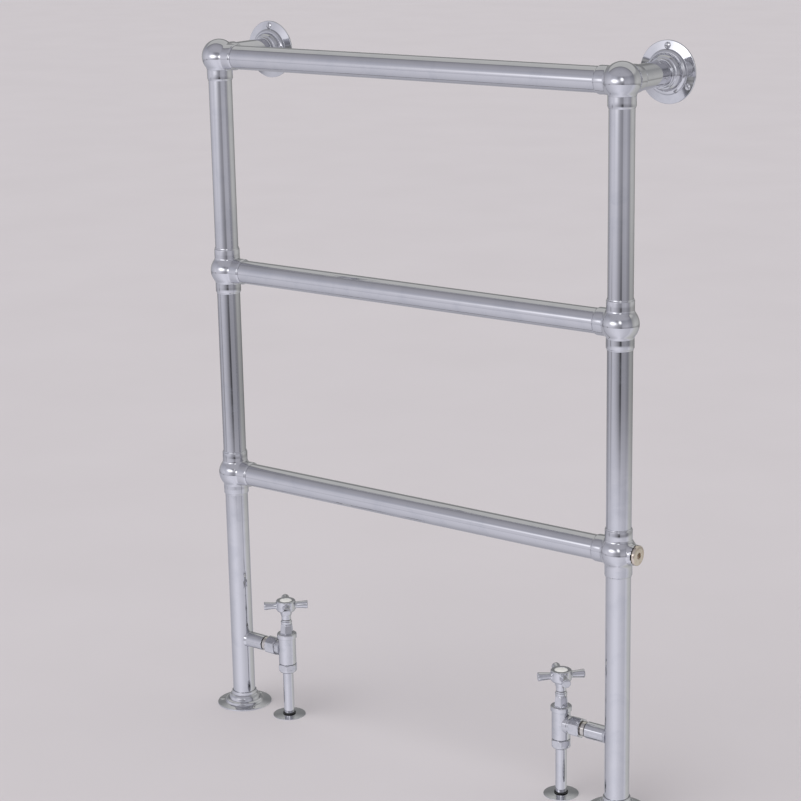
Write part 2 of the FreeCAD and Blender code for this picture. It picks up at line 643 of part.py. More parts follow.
for side, sign in sides.items():
    x = sign * half_spacing
    inward = Vec(-sign, 0, 0)
    down = -Z_AXIS

    # Ball joints: the top ones carry a wall stay, the others pass the upright through.
    ball_ports = {"top": [down, inward], "middle": [Z_AXIS, down, inward],
                  "bottom": [Z_AXIS, down, inward]}
    for level, height in rail_heights.items():
        blind = [Y_AXIS] if level == "top" else []
        plug = Vec(sign, 0, 0) if level == "bottom" and side == "right" else None
        joint = ball_joint(ball_ports[level], blind, plug)
        parts[level + "_" + side + "_ball_joint"] = placed(joint, Vec(x, upright_y, height))

    # Uprights and leg; the leg is drilled for the valve stub.
    for span, (low, high) in upright_spans.items():
        length = high - low - 2 * tube_end
        parts[span + "_" + side + "_upright"] = placed(tube(length), Vec(x, upright_y, low + tube_end))
    leg = placed(tube(bottom_rail_z - tube_end - flange_seat), Vec(x, upright_y, flange_seat))
    valve_port = placed(rod(tail_bore_r + 1.5, 0, tube_r + 1), Vec(x, upright_y, valve_axis_z), inward)
    parts[side + "_leg"] = leg.cut(valve_port)
    blank = rod(bore_r - braze_gap, 0, 2.0)
    pairs["leg_blanks"].append(placed(blank, Vec(x, upright_y, valve_axis_z - 16)))

    # Wall stay, and the flanges on the wall and on the floor.
    stay_length = wall_distance - tube_end - flange_seat
    parts[side + "_wall_stay"] = placed(tube(stay_length), Vec(x, upright_y + tube_end, top_rail_z), Y_AXIS)
    on_wall = Vec(x, wall_y, top_rail_z)
    on_floor = Vec(x, upright_y, 0)
    parts[side + "_wall_flange"] = placed(spun(flange(), 90), on_wall, -Y_AXIS)
    parts[side + "_floor_flange"] = placed(spun(flange(), 90), on_floor)
    for screw in screw_set(-flange_screw_length, 90):
        screws["wall_screws"].append(placed(screw, on_wall, -Y_AXIS))
    for screw in screw_set(0.2, 90):
        screws["floor_screws"].append(placed(screw, on_floor))

    # Union from the leg to the valve.
    at_outlet = Vec(x, upright_y, valve_axis_z)
    parts[side + "_valve_stub"] = placed(valve_stub(), at_outlet, inward)
    parts[side + "_union_tail"] = placed(union_tail(), at_outlet, inward)
    pairs["union_nuts"].append(placed(union_nut(), at_outlet, inward))
    pairs["tail_o_rings"].append(placed(tail_o_ring(), at_outlet, inward))

    # Valve, turned so that its outlet faces the leg.
    valve_place = Vec(x - sign * valve_offset, upright_y, 0)
    facing = 0 if sign > 0 else 180
    handle_angle = right_handle_angle if sign > 0 else left_handle_angle
    valve_pieces = {"valve_body": valve_body(), "bonnet": bonnet(), "valve_plug": valve_plug(),
                    "seat_washer": seat_washer(), "supply_pipe": supply_pipe()}
    handle_pieces = {"crosshead_handle": crosshead(), "spindle": spindle(),
                     "handle_screw": handle_screw(), "ceramic_button": ceramic_button()}
    paired_pieces = {"compression_nuts": compression_nut(), "gland_nuts": gland_nut(),
                     "floor_roses": floor_rose(), "olives": olive(), "rose_o_rings": rose_o_ring(),
                     "gland_packings": gland_packing()}
    for name, shape in valve_pieces.items():
        parts[side + "_" + name] = placed(spun(shape, facing), valve_place)
    for name, shape in handle_pieces.items():
        parts[side + "_" + name] = placed(spun(shape, handle_angle), valve_place)
    for name, shape in paired_pieces.items():
        pairs[name].append(placed(spun(shape, facing), valve_place))

right_plug_place = Vec(half_spacing, upright_y, bottom_rail_z)
parts["blanking_plug"] = placed(blanking_plug(), right_plug_place, X_AXIS)
parts["plug_o_ring"] = placed(plug_o_ring(), right_plug_place, X_AXIS)
vent_place = Vec(half_spacing - vent_from_right_leg, upright_y, top_rail_z)
parts["air_vent_body"] = placed(air_vent_body(), vent_place, Y_AXIS)
parts["air_vent_screw"] = placed(air_vent_screw(), vent_place, Y_AXIS)

for name, solids in list(screws.items()) + list(pairs.items()):
    parts[name] = Part.makeCompound(solids)

os.makedirs("parts", exist_ok=True)
for name, shape in parts.items():
    shape.exportStep("parts/" + name + ".step")
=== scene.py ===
import json
import math

import bmesh
import bpy
from mathutils import Matrix, Vector


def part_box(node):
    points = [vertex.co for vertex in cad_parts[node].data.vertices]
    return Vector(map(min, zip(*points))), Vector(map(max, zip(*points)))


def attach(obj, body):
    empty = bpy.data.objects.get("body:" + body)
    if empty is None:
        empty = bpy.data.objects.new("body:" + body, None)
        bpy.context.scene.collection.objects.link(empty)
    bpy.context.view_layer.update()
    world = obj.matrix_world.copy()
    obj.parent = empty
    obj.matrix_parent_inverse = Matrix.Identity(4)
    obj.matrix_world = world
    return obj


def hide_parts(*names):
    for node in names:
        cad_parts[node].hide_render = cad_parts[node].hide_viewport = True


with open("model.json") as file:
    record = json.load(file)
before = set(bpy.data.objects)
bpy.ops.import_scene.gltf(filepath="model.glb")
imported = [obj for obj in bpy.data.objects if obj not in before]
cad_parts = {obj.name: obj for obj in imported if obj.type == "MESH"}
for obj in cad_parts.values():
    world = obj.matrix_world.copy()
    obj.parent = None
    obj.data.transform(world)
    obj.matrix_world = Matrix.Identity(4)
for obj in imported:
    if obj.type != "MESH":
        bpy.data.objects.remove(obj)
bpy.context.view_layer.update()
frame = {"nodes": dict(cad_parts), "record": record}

X_AXIS = Vector((1, 0, 0))
Y_AXIS = Vector((0, 1, 0))
Z_AXIS = Vector((0, 0, 1))
mm = 0.001


# ------------------------------------------------------------------ camera
# A portrait lens at a little under three metres, above the rail and to its right.
# It stands off from the plane of the uprights, which the top rail gives.
def middle(node, axis):
    """Middle of a node's box along x, y or z."""
    low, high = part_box(node)
    return (getattr(low, axis) + getattr(high, axis)) / 2


def linked(name, data):
    """An object made from its data and put in the scene."""
    made = bpy.data.objects.new(name, data)
    bpy.context.scene.collection.objects.link(made)
    return made


uprights_y = middle("top_rail", "y")
camera_data = bpy.data.cameras.new("camera")
camera_data.lens = 96.55
camera_data.sensor_width = 36.0
camera = linked("camera", camera_data)
heading, dip, tilt = math.radians(37.17), math.radians(14.85), math.radians(-1.10)
camera.location = (1.6412, uprights_y - 2.1916, 1.2271)
camera.rotation_euler = (Matrix.Rotation(heading, 3, "Z") @ Matrix.Rotation(math.pi / 2 - dip, 3, "X")
                         @ Matrix.Rotation(tilt, 3, "Z")).to_euler()
bpy.context.scene.camera = camera
bpy.context.scene.view_settings.view_transform = "Standard"


# ------------------------------------------------------------------ studio
# A pale paper floor, a wide soft overhead and two glowing screens in front. Polished plate shows
# its surroundings, so the sky is lighter and darker by bearing, in bands from eye level down to
# the ground. The bands' levels are measured ones, not a design.
def add(tree, kind, values=None, **settings):
    """A node with its settings and its inputs, each a value or another node's output."""
    node = tree.nodes.new(kind)
    for name, value in settings.items():
        setattr(node, name, value)
    for name, value in (values or {}).items():
        if isinstance(value, bpy.types.NodeSocket):
            tree.links.new(value, node.inputs[name])
        else:
            node.inputs[name].default_value = value
    return node


def ramp(tree, factor, stops):
    """Colour ramp from (place, (r, g, b)) stops."""
    node = add(tree, "ShaderNodeValToRGB", {"Fac": factor})
    line = node.color_ramp
    while len(line.elements) < len(stops):
        line.elements.new(0.5)
    for element, (place, colour) in zip(line.elements, stops):
        element.position = place
        element.color = tuple(colour) + (1.0,)
    return node.outputs["Color"]


def blend_colours(tree, factor, first, second, blend="MIX"):
    node = add(tree, "ShaderNodeMix", {"Factor": factor}, data_type="RGBA", blend_type=blend)
    for socket, value in ((node.inputs[6], first), (node.inputs[7], second)):
        if isinstance(value, bpy.types.NodeSocket):
            tree.links.new(value, socket)
        else:
            socket.default_value = tuple(value) + (1.0,)
    return node.outputs[2]


def cool(level):
    return (level * 0.97, level * 0.965, level * 1.07)


def neutral(level):
    return (level, level, level * 0.99)


world = bpy.data.worlds.new("studio")
bpy.context.scene.world = world
world.use_nodes = True
sky = world.node_tree
sky.nodes.clear()
direction = add(sky, "ShaderNodeSeparateXYZ",
                {"Vector": add(sky, "ShaderNodeTexCoord").outputs["Generated"]})
forward = add(sky, "ShaderNodeMath", {0: direction.outputs["Y"], 1: -1.0}, operation="MULTIPLY")
around = add(sky, "ShaderNodeMath", {0: direction.outputs["X"], 1: forward.outputs[0]},
             operation="ARCTAN2")
turn_share = add(sky, "ShaderNodeMapRange", {"Value": around.outputs[0], 1: -math.pi, 2: math.pi})


def bearing(degrees):
    """Place on a belt's ramp of a bearing: 0 is straight in front, positive is to the right."""
    return degrees / 360 + 0.5


# Light by bearing: at eye level, somewhat below it, and near the ground.
eye_belt = ramp(sky, turn_share.outputs["Result"], [
    (bearing(-145), neutral(0.35)), (bearing(-120), neutral(0.42)), (bearing(-98), cool(0.52)),
    (bearing(-75), cool(0.67)), (bearing(-50), cool(0.83)), (bearing(-34), cool(0.78)),
    (bearing(-18), cool(0.83)), (bearing(-7), cool(0.78)), (bearing(3), cool(0.60)),
    (bearing(20), cool(0.42)), (bearing(38), cool(0.35)), (bearing(46), cool(0.56)),
    (bearing(72), cool(0.60)), (bearing(84), cool(0.50)), (bearing(103), cool(0.38)),
    (bearing(113), neutral(0.54)), (bearing(130), neutral(0.65)), (bearing(153), neutral(0.58)),
    (bearing(171), neutral(0.50)), (bearing(176), neutral(0.35))])
low_belt = ramp(sky, turn_share.outputs["Result"], [
    (bearing(-145), neutral(0.25)), (bearing(-98), cool(0.36)), (bearing(-72), cool(0.56)),
    (bearing(-58), cool(0.60)), (bearing(-52), cool(0.22)), (bearing(-46), cool(0.62)),
    (bearing(-30), cool(0.70)), (bearing(-8), cool(0.58)), (bearing(5), cool(0.46)),
    (bearing(23), cool(0.26)), (bearing(30), cool(0.10)), (bearing(40), cool(0.07)),
    (bearing(46), cool(0.38)), (bearing(75), cool(0.40)), (bearing(103), cool(0.26)),
    (bearing(128), neutral(0.46)), (bearing(171), neutral(0.34)), (bearing(176), neutral(0.25))])
ground = ramp(sky, turn_share.outputs["Result"], [
    (bearing(-145), cool(0.45)), (bearing(-87), cool(0.58)), (bearing(-50), cool(0.74)),
    (bearing(-25), cool(0.87)), (bearing(-2), cool(0.96)), (bearing(20), cool(0.94)),
    (bearing(35), cool(0.86)), (bearing(50), cool(0.80)), (bearing(66), cool(0.73)),
    (bearing(92), cool(0.67)), (bearing(104), cool(0.78)), (bearing(130), neutral(0.68)),
    (bearing(160), neutral(0.58)), (bearing(176), neutral(0.48))])
climbing = add(sky, "ShaderNodeMapRange", {"Value": direction.outputs["Z"], 1: 0.0, 2: 0.5})
sinking = add(sky, "ShaderNodeMapRange", {"Value": direction.outputs["Z"], 1: -0.15, 2: -0.24},
              interpolation_type="SMOOTHSTEP")
landing = add(sky, "ShaderNodeMapRange", {"Value": direction.outputs["Z"], 1: -0.25, 2: -0.32},
              interpolation_type="SMOOTHSTEP")
reflected = blend_colours(sky, climbing.outputs["Result"], eye_belt, (0.63, 0.64, 0.66), "MULTIPLY")
reflected = blend_colours(sky, sinking.outputs["Result"], reflected, low_belt)
reflected = blend_colours(sky, landing.outputs["Result"], reflected, ground)

# Overhead, the light falls to a dark line across the sky and is pale again behind it.
slant = add(sky, "ShaderNodeMath", {0: direction.outputs["X"], 1: -0.25,
                                    2: direction.outputs["Y"]}, operation="MULTIPLY_ADD")
depth_share = add(sky, "ShaderNodeMapRange", {"Value": slant.outputs[0], 1: -1.25, 2: 1.25})
ceiling = ramp(sky, depth_share.outputs["Result"], [
    (0.0, cool(0.56)), (0.32, cool(0.52)), (0.45, cool(0.42)), (0.49, cool(0.37)),
    (0.51, cool(0.28)), (0.53, cool(0.28)), (0.55, neutral(0.62)), (1.0, neutral(0.66))])
above = add(sky, "ShaderNodeMapRange", {"Value": direction.outputs["Z"], 1: 0.40, 2: 0.60},
            interpolation_type="SMOOTHSTEP")
reflected = blend_colours(sky, above.outputs["Result"], reflected, ceiling)
ray = add(sky, "ShaderNodeLightPath")
lit = blend_colours(sky, ray.outputs["Is Diffuse Ray"], reflected, (0.74, 0.73, 0.74))
seen = blend_colours(sky, ray.outputs["Is Camera Ray"], lit, (0.624, 0.591, 0.610))
background = add(sky, "ShaderNodeBackground", {"Color": seen})
add(sky, "ShaderNodeOutputWorld", {"Surface": background.outputs["Background"]})

overhead_data = bpy.data.lights.new("overhead", "SUN")
overhead_data.energy = 0.95
overhead_data.angle = math.radians(50)
overhead = linked("overhead", overhead_data)
overhead.rotation_euler = Vector((-0.30, -0.55, 1.0)).to_track_quat("Z", "Y").to_euler()
overhead.visible_glossy = False


def stage_mesh(name, verts, faces, material, camera_sees, glossy_sees):
    """A stage piece that chosen rays see; it casts no shadow."""
    mesh = bpy.data.meshes.new(name)
    mesh.from_pydata(verts, [], faces)
    mesh.materials.append(material)
    piece = linked(name, mesh)
    piece.visible_camera = camera_sees
    piece.visible_glossy = glossy_sees
    piece.visible_shadow = False
    return piece


def glow_screen(name, centre, spread_x, spread_z, peak):
    """An upright screen that glows in the middle and fades softly to nothing at its edges."""
    material = bpy.data.materials.new(name)
    material.use_nodes = True
    tree = material.node_tree
    tree.nodes.clear()
    place = add(tree, "ShaderNodeTexCoord").outputs["Object"]
    offset = add(tree, "ShaderNodeVectorMath", {0: place, 1: tuple(centre)}, operation="SUBTRACT")
    shares = add(tree, "ShaderNodeVectorMath",
                 {0: offset.outputs[0], 1: (1 / spread_x, 0.0, 1 / spread_z)}, operation="MULTIPLY")
    squared = add(tree, "ShaderNodeVectorMath", {0: shares.outputs[0], 1: shares.outputs[0]},
                  operation="DOT_PRODUCT")
    halved = add(tree, "ShaderNodeMath", {0: squared.outputs["Value"], 1: -0.5}, operation="MULTIPLY")
    falling = add(tree, "ShaderNodeMath", {0: halved.outputs[0]}, operation="EXPONENT")
    strength = add(tree, "ShaderNodeMath", {0: falling.outputs[0], 1: peak}, operation="MULTIPLY")
    glow = add(tree, "ShaderNodeEmission", {"Color": (0.98, 0.975, 1.0, 1.0),
                                            "Strength": strength.outputs[0]})
    clear = add(tree, "ShaderNodeBsdfTransparent")
    both = add(tree, "ShaderNodeAddShader", {0: glow.outputs[0], 1: clear.outputs[0]})
    add(tree, "ShaderNodeOutputMaterial", {"Surface": both.outputs[0]})
    wide, tall = 3.2 * spread_x, 3.2 * spread_z
    corners = [tuple(centre + Vector((i * wide, 0, j * tall)))
               for i, j in ((-1, -1), (1, -1), (1, 1), (-1, 1))]
    screen = stage_mesh(name, corners, [(0, 1, 2, 3)], material, False, True)
    screen.visible_diffuse = False


glow_screen("wide_screen", Vector((-0.35, uprights_y - 2.5, 1.10)), 0.65, 0.24, 2.2)
glow_screen("side_screen", Vector((1.85, uprights_y - 2.6, 1.70)), 0.36, 0.34, 2.2)


# The floor: matt seamless paper with a trace of mottling. The sky above holds its reflection.
def new_material(name):
    """A material, its tree, its shader and the object coordinates that its nodes read."""
    material = bpy.data.materials.new(name)
    material.use_nodes = True
    tree = material.node_tree
    place = add(tree, "ShaderNodeTexCoord").outputs["Object"]
    return material, tree, tree.nodes["Principled BSDF"], place


paper, paper_tree, paper_shader, paper_place = new_material("floor_paper")
paper_tone = add(paper_tree, "ShaderNodeTexNoise", {"Vector": paper_place, "Scale": 3.0, "Detail": 3.0})
paper_colour = ramp(paper_tree, paper_tone.outputs["Fac"], [(0.3, (0.612, 0.581, 0.598)),
                                                            (0.7, (0.628, 0.597, 0.615))])
paper_tree.links.new(paper_colour, paper_shader.inputs["Base Color"])
paper_shader.inputs["Roughness"].default_value = 0.9
paper_shader.inputs["Specular IOR Level"].default_value = 0.1
floor_r = 40.0
floor_edge = [(floor_r * math.cos(math.pi * k / 32), floor_r * math.sin(math.pi * k / 32), 0)
              for k in range(64)]
stage_mesh("floor", floor_edge, [tuple(range(64))], paper, True, False)


# ------------------------------------------------------------------ tubes
# Drawn brass tube, polished and chrome plated: three rails, four uprights, two legs and two
# wall stays. Each end slides into a socket and is brazed there.
def group_of(name, kind, inputs, outputs):
    """An empty node group with its sockets: name to socket type, or to (type, default)."""
    tree = bpy.data.node_groups.new(name, kind)
    for direction_word, sockets in (("INPUT", inputs), ("OUTPUT", outputs)):
        for socket_name, spec in sockets.items():
            socket_type, default = spec if isinstance(spec, tuple) else (spec, None)
            made = tree.interface.new_socket(socket_name, in_out=direction_word,
                                             socket_type=socket_type)
            if default is not None:
                made.default_value = default
    return tree, add(tree, "NodeGroupInput"), add(tree, "NodeGroupOutput")


def polish_marks_group():
    """What hand polishing leaves: soft smears, fine wipe lines and a faint orange peel."""
    tree, given, out = group_of(
        "polish_marks", "ShaderNodeTree",
        {"Vector": "NodeSocketVector", "Smear Scale": ("NodeSocketFloat", 30.0),
         "Peel Scale": ("NodeSocketFloat", 90.0), "Peel Height": ("NodeSocketFloat", 0.00001)},
        {"Smear": "NodeSocketFloat", "Wipe": "NodeSocketFloat", "Normal": "NodeSocketVector"})
    place = given.outputs["Vector"]
    smear = add(tree, "ShaderNodeTexNoise", {"Vector": place, "Scale": given.outputs["Smear Scale"],
                                             "Detail": 5.0, "Roughness": 0.6, "Distortion": 0.6})
    smear_mask = add(tree, "ShaderNodeMapRange", {"Value": smear.outputs["Fac"], 1: 0.42, 2: 0.72},
                     interpolation_type="SMOOTHSTEP")
    stretched = add(tree, "ShaderNodeVectorMath", {0: place, 1: (60.0, 60.0, 900.0)},
                    operation="MULTIPLY")
    wipe = add(tree, "ShaderNodeTexNoise", {"Vector": stretched.outputs[0], "Scale": 1.0,
                                            "Detail": 4.0, "Roughness": 0.7})
    peel = add(tree, "ShaderNodeTexNoise", {"Vector": place, "Scale": given.outputs["Peel Scale"],
                                            "Detail": 2.0, "Roughness": 0.4})
    height = add(tree, "ShaderNodeMath", {0: peel.outputs["Fac"], 1: given.outputs["Peel Height"]},
                 operation="MULTIPLY")
    bump = add(tree, "ShaderNodeBump", {"Height": height.outputs[0], "Strength": 1.0, "Distance": 1.0})
    for name, socket in (("Smear", smear_mask.outputs["Result"]), ("Wipe", wipe.outputs["Fac"]),
                         ("Normal", bump.outputs["Normal"])):
        tree.links.new(socket, out.inputs[name])
    return tree


polish_marks = polish_marks_group()


def plated(name, bright, dull, clean=0.045, smeared=0.11, smear_scale=30.0, peel_scale=90.0,
           peel_height=1.0e-5):
    """Polished metal plate: two near shades, mixed and roughened by the marks of polishing."""
    material, tree, shader, place = new_material(name)
    marks = add(tree, "ShaderNodeGroup", node_tree=polish_marks)
    tree.links.new(place, marks.inputs["Vector"])
    marks.inputs["Smear Scale"].default_value = smear_scale
    marks.inputs["Peel Scale"].default_value = peel_scale
    marks.inputs["Peel Height"].default_value = peel_height
    tree.links.new(blend_colours(tree, marks.outputs["Smear"], bright, dull),
                   shader.inputs["Base Color"])
    wiped = add(tree, "ShaderNodeMath", {0: marks.outputs["Wipe"], 1: marks.outputs["Smear"]},
                operation="MULTIPLY")
    rough = add(tree, "ShaderNodeMapRange", {"Value": wiped.outputs[0], 1: 0.0, 2: 0.6,
                                             3: clean, 4: smeared})
    tree.links.new(rough.outputs["Result"], shader.inputs["Roughness"])
    tree.links.new(marks.outputs["Normal"], shader.inputs["Normal"])
    shader.inputs["Metallic"].default_value = 1.0
    return material


tube_chrome = plated("tube_chrome", (0.64, 0.64, 0.66), (0.60, 0.605, 0.63), peel_scale=55.0)


def painted_end(tree, given, out, geometry):
    """How every geometry tree ends: real geometry, in the material given."""
    solid = add(tree, "GeometryNodeRealizeInstances", {"Geometry": geometry})
    painted = add(tree, "GeometryNodeSetMaterial", {"Geometry": solid.outputs["Geometry"],
                                                    "Material": given.outputs["Material"]})
    tree.links.new(painted.outputs["Geometry"], out.inputs["Geometry"])
    return tree


def tube_tree():
    """Geometry: a round tube about Z, its ends at nought and at its length, with eased edges."""
    tree, given, out = group_of(
        "drawn_tube", "GeometryNodeTree",
        {"Length": ("NodeSocketFloat", 0.1), "Outer Radius": ("NodeSocketFloat", 0.016),
         "Wall": ("NodeSocketFloat", 0.0015), "Easing": ("NodeSocketFloat", 0.0003),
         "Material": "NodeSocketMaterial"},
        {"Geometry": "NodeSocketGeometry"})
    half_wall = add(tree, "ShaderNodeMath", {0: given.outputs["Wall"], 1: 0.5}, operation="MULTIPLY")
    middle = add(tree, "ShaderNodeMath", {0: given.outputs["Outer Radius"], 1: half_wall.outputs[0]},
                 operation="SUBTRACT")
    path = add(tree, "GeometryNodeCurvePrimitiveCircle",
               {"Resolution": 144, "Radius": middle.outputs[0]})
    section = add(tree, "GeometryNodeCurvePrimitiveQuadrilateral",
                  {"Width": given.outputs["Wall"], "Height": given.outputs["Length"]})
    eased = add(tree, "GeometryNodeFilletCurve",
                {"Curve": section.outputs["Curve"], "Radius": given.outputs["Easing"], "Count": 3},
                mode="POLY")
    swept = add(tree, "GeometryNodeCurveToMesh",
                {"Curve": path.outputs["Curve"], "Profile Curve": eased.outputs["Curve"]})
    half_length = add(tree, "ShaderNodeMath", {0: given.outputs["Length"], 1: 0.5},
                      operation="MULTIPLY")
    lift = add(tree, "ShaderNodeCombineXYZ", {"Z": half_length.outputs[0]})
    raised = add(tree, "GeometryNodeTransform",
                 {"Geometry": swept.outputs["Mesh"], "Translation": lift.outputs["Vector"]})
    return painted_end(tree, given, out, raised.outputs["Geometry"])


def finish_mesh(mesh, crease=32):
    """Smooth shading with creases kept sharp, and faces turned outwards."""
    work = bmesh.new()
    work.from_mesh(mesh)
    bmesh.ops.remove_doubles(work, verts=work.verts, dist=1e-7)
    bmesh.ops.recalc_face_normals(work, faces=work.faces)
    work.to_mesh(mesh)
    work.free()
    mesh.shade_smooth()
    mesh.set_sharp_from_angle(angle=math.radians(crease))
    return mesh


def baked(piece, name, crease=32):
    """Makes a plain mesh of what the modifier gives, and takes the modifier off."""
    bpy.context.view_layer.update()
    result = bpy.data.meshes.new_from_object(
        piece.evaluated_get(bpy.context.evaluated_depsgraph_get()))
    piece.modifiers.clear()
    piece.data = finish_mesh(result, crease)
    piece.data.name = name
    return piece


def grown(name, tree, values, host=None, crease=32):
    """A plain object from a geometry tree: inputs are set by identifier, then it is baked."""
    piece = linked(name, host or bpy.data.meshes.new(name))
    modifier = piece.modifiers.new("grow", "NODES")
    modifier.node_group = tree
    for item in tree.interface.items_tree:
        if item.item_type == "SOCKET" and item.in_out == "INPUT" and item.name in values:
            modifier[item.identifier] = values[item.name]
    piece.update_tag()
    return baked(piece, name, crease)


def move(piece, place, along=Z_AXIS, spin=0.0):
    """Turns the mesh about Z, lays its Z axis along a direction and moves it to its place."""
    turn = Z_AXIS.rotation_difference(along).to_matrix().to_4x4()
    piece.data.transform(Matrix.Translation(place) @ turn @ Matrix.Rotation(spin, 4, "Z"))
    return piece


def settle(piece, body, slot_name, *nodes):
    """Last step for every piece: what it rides on and what it stands for; the finish slot is not used."""
    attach(piece, body)
    if nodes:
        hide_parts(*nodes)
    return piece


drawn_tube = tube_tree()
tube_wall = 1.5 * mm
tube_axes = {"rail": X_AXIS, "upright": Z_AXIS, "leg": Z_AXIS, "stay": Y_AXIS}
tube_nodes = [n for n in frame["nodes"] if n.split("_")[-1] in tube_axes]
for node in sorted(tube_nodes):
    low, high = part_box(node)
    along = tube_axes[node.split("_")[-1]]
    length = (high - low).dot(along)
    radius = min(high - low) / 2
    tube = grown(node + "_tube", drawn_tube, {"Length": length, "Outer Radius": radius,
                                              "Wall": tube_wall, "Easing": 0.3 * mm,
                                              "Material": tube_chrome}, crease=12)
    move(tube, (low + high) / 2 - along * length / 2, along)
    settle(tube, "rail", "polished_chrome", node)
tube_r = radius


# ------------------------------------------------------------------ ball joints
# Hollow brass castings, turned, polished and plated. The ball runs into each socket in a small
# fillet, and the socket's mouth is bevelled down to the tube.
ball_chrome = plated("ball_chrome", (0.64, 0.64, 0.66), (0.60, 0.605, 0.63), smear_scale=45.0,
                     peel_scale=70.0, peel_height=1.2e-5)
ball_r = 23.5 * mm
socket_r = 17.5 * mm
socket_reach = 32.0 * mm
socket_floor = 18.5 * mm
socket_lip = 0.9 * mm
lip_ease = 0.25 * mm
braze_gap = 0.05 * mm
fillet = 1.5 * mm
boss_fillet = 1.2 * mm
collar_foot = 20.6 * mm


def smooth_union(a, b, k):
    """Union of two distances with a rounded inside corner of about k."""
    h = max(k - abs(a - b), 0.0) / k
    return min(a, b) - h * h * k / 4


def ball_surface(direction, ports, stub):
    """How far the casting reaches from its centre in a direction."""
    near, far, halvings = 0.0, 60 * mm, 40
    for _ in range(halvings):
        reach = (near + far) / 2
        point = direction * reach
        field = reach - ball_r
        for port in ports:
            along = point.dot(port)
            if along > 0:
                field = smooth_union(field, (point - port * along).length - socket_r, fillet)
        if stub:
            port, stub_r, stub_end = stub
            along = point.dot(port)
            if along > 0:
                side = max((point - port * along).length - stub_r, along - stub_end)
                field = smooth_union(field, side, boss_fillet)
        near, far = (reach, far) if field < 0 else (near, reach)
    return near


def face_axes(axis):
    """Two directions that finish a frame with an axis, along the other row axes."""
    others = [v for v in (X_AXIS, Y_AXIS, Z_AXIS) if abs(v.dot(axis)) < 0.5]
    return others[0], others[1]


def built(name, verts, faces, material, crease=32):
    """A piece from its corners and faces, in its metal."""
    mesh = bpy.data.meshes.new(name)
    mesh.from_pydata(verts, [], faces)
    piece = linked(name, finish_mesh(mesh, crease))
    piece.data.materials.append(material)
    return piece


def ball_joint(name, ports, stub=None):
    """Six patches, one facing each way along the axes, that meet in matching points."""
    steps = 96
    rows_out = 14
    verts, faces = [], []
    for axis in (X_AXIS, -X_AXIS, Y_AXIS, -Y_AXIS, Z_AXIS, -Z_AXIS):
        u, v = face_axes(axis)
        has_port = any((axis - port).length < 1e-6 for port in ports)
        rows = []
        if has_port:
            mouth = [(0, socket_floor), (tube_r + braze_gap, socket_floor),
                     (tube_r + braze_gap, socket_reach)]
            lip_r = socket_r - socket_lip
            for t in range(5):
                a = math.radians(22.5 * t)
                mouth.append((lip_r - lip_ease * (1 - math.sin(a)),
                              socket_reach - lip_ease * (1 - math.cos(a))))
            mouth += [(lip_r, socket_reach - 1.2 * mm), (lip_r + 0.12 * mm, socket_reach - 1.4 * mm),
                      (socket_r - 0.2 * mm, socket_reach - 2.1 * mm),
                      (socket_r - 0.05 * mm, socket_reach - 2.3 * mm),
                      (socket_r, socket_reach - 2.6 * mm), (socket_r, 22.5 * mm), (socket_r, collar_foot)]
            for r, h in mouth:
                rows.append([axis * h + (u * math.cos(2 * math.pi * k / steps)
                                         + v * math.sin(2 * math.pi * k / steps)) * r
                             for k in range(steps)])
            first_angle = math.atan2(socket_r, collar_foot)
        else:
            first_angle = 0.0
        for row in range(1 if has_port else 0, rows_out + 1):
            share = row / rows_out
            ring = []
            for k in range(steps):
                phi = 2 * math.pi * k / steps
                c, s = math.cos(phi), math.sin(phi)
                edge = math.atan(1 / max(abs(c), abs(s)))
                theta = first_angle + (edge - first_angle) * share
                if row == 0:
                    theta = 0.0
                ray_out = axis * math.cos(theta) + (u * c + v * s) * math.sin(theta)
                ring.append(ray_out * ball_surface(ray_out, ports, stub))
            rows.append(ring)
        start = len(verts)
        verts += [tuple(p) for ring in rows for p in ring]
        for i in range(len(rows) - 1):
            for k in range(steps):
                n = (k + 1) % steps
                faces.append((start + i * steps + k, start + i * steps + n,
                              start + (i + 1) * steps + n, start + (i + 1) * steps + k))
    return built(name, verts, faces, ball_chrome, 40)


side_sign = {"left": -1, "right": 1}
leg_x = {side: middle(side + "_leg", "x") for side in side_sign}
rail_z = {level: middle(level + "_rail", "z") for level in ("top", "middle", "bottom")}
boss_r, boss_reach = 13.5 * mm, 24.7 * mm
plug_boss = (X_AXIS, boss_r, boss_reach)
for side, sign in side_sign.items():
    for level, height in rail_z.items():
        inward = -sign * X_AXIS
        ports = [inward, -Z_AXIS, Y_AXIS if level == "top" else Z_AXIS]
        stub = plug_boss if (side, level) == ("right", "bottom") else None
        joint = ball_joint(level + "_" + side + "_ball", ports, stub)
        move(joint, Vector((leg_x[side], uprights_y, height)))
        settle(joint, "rail", "polished_chrome", level + "_" + side + "_ball_joint")


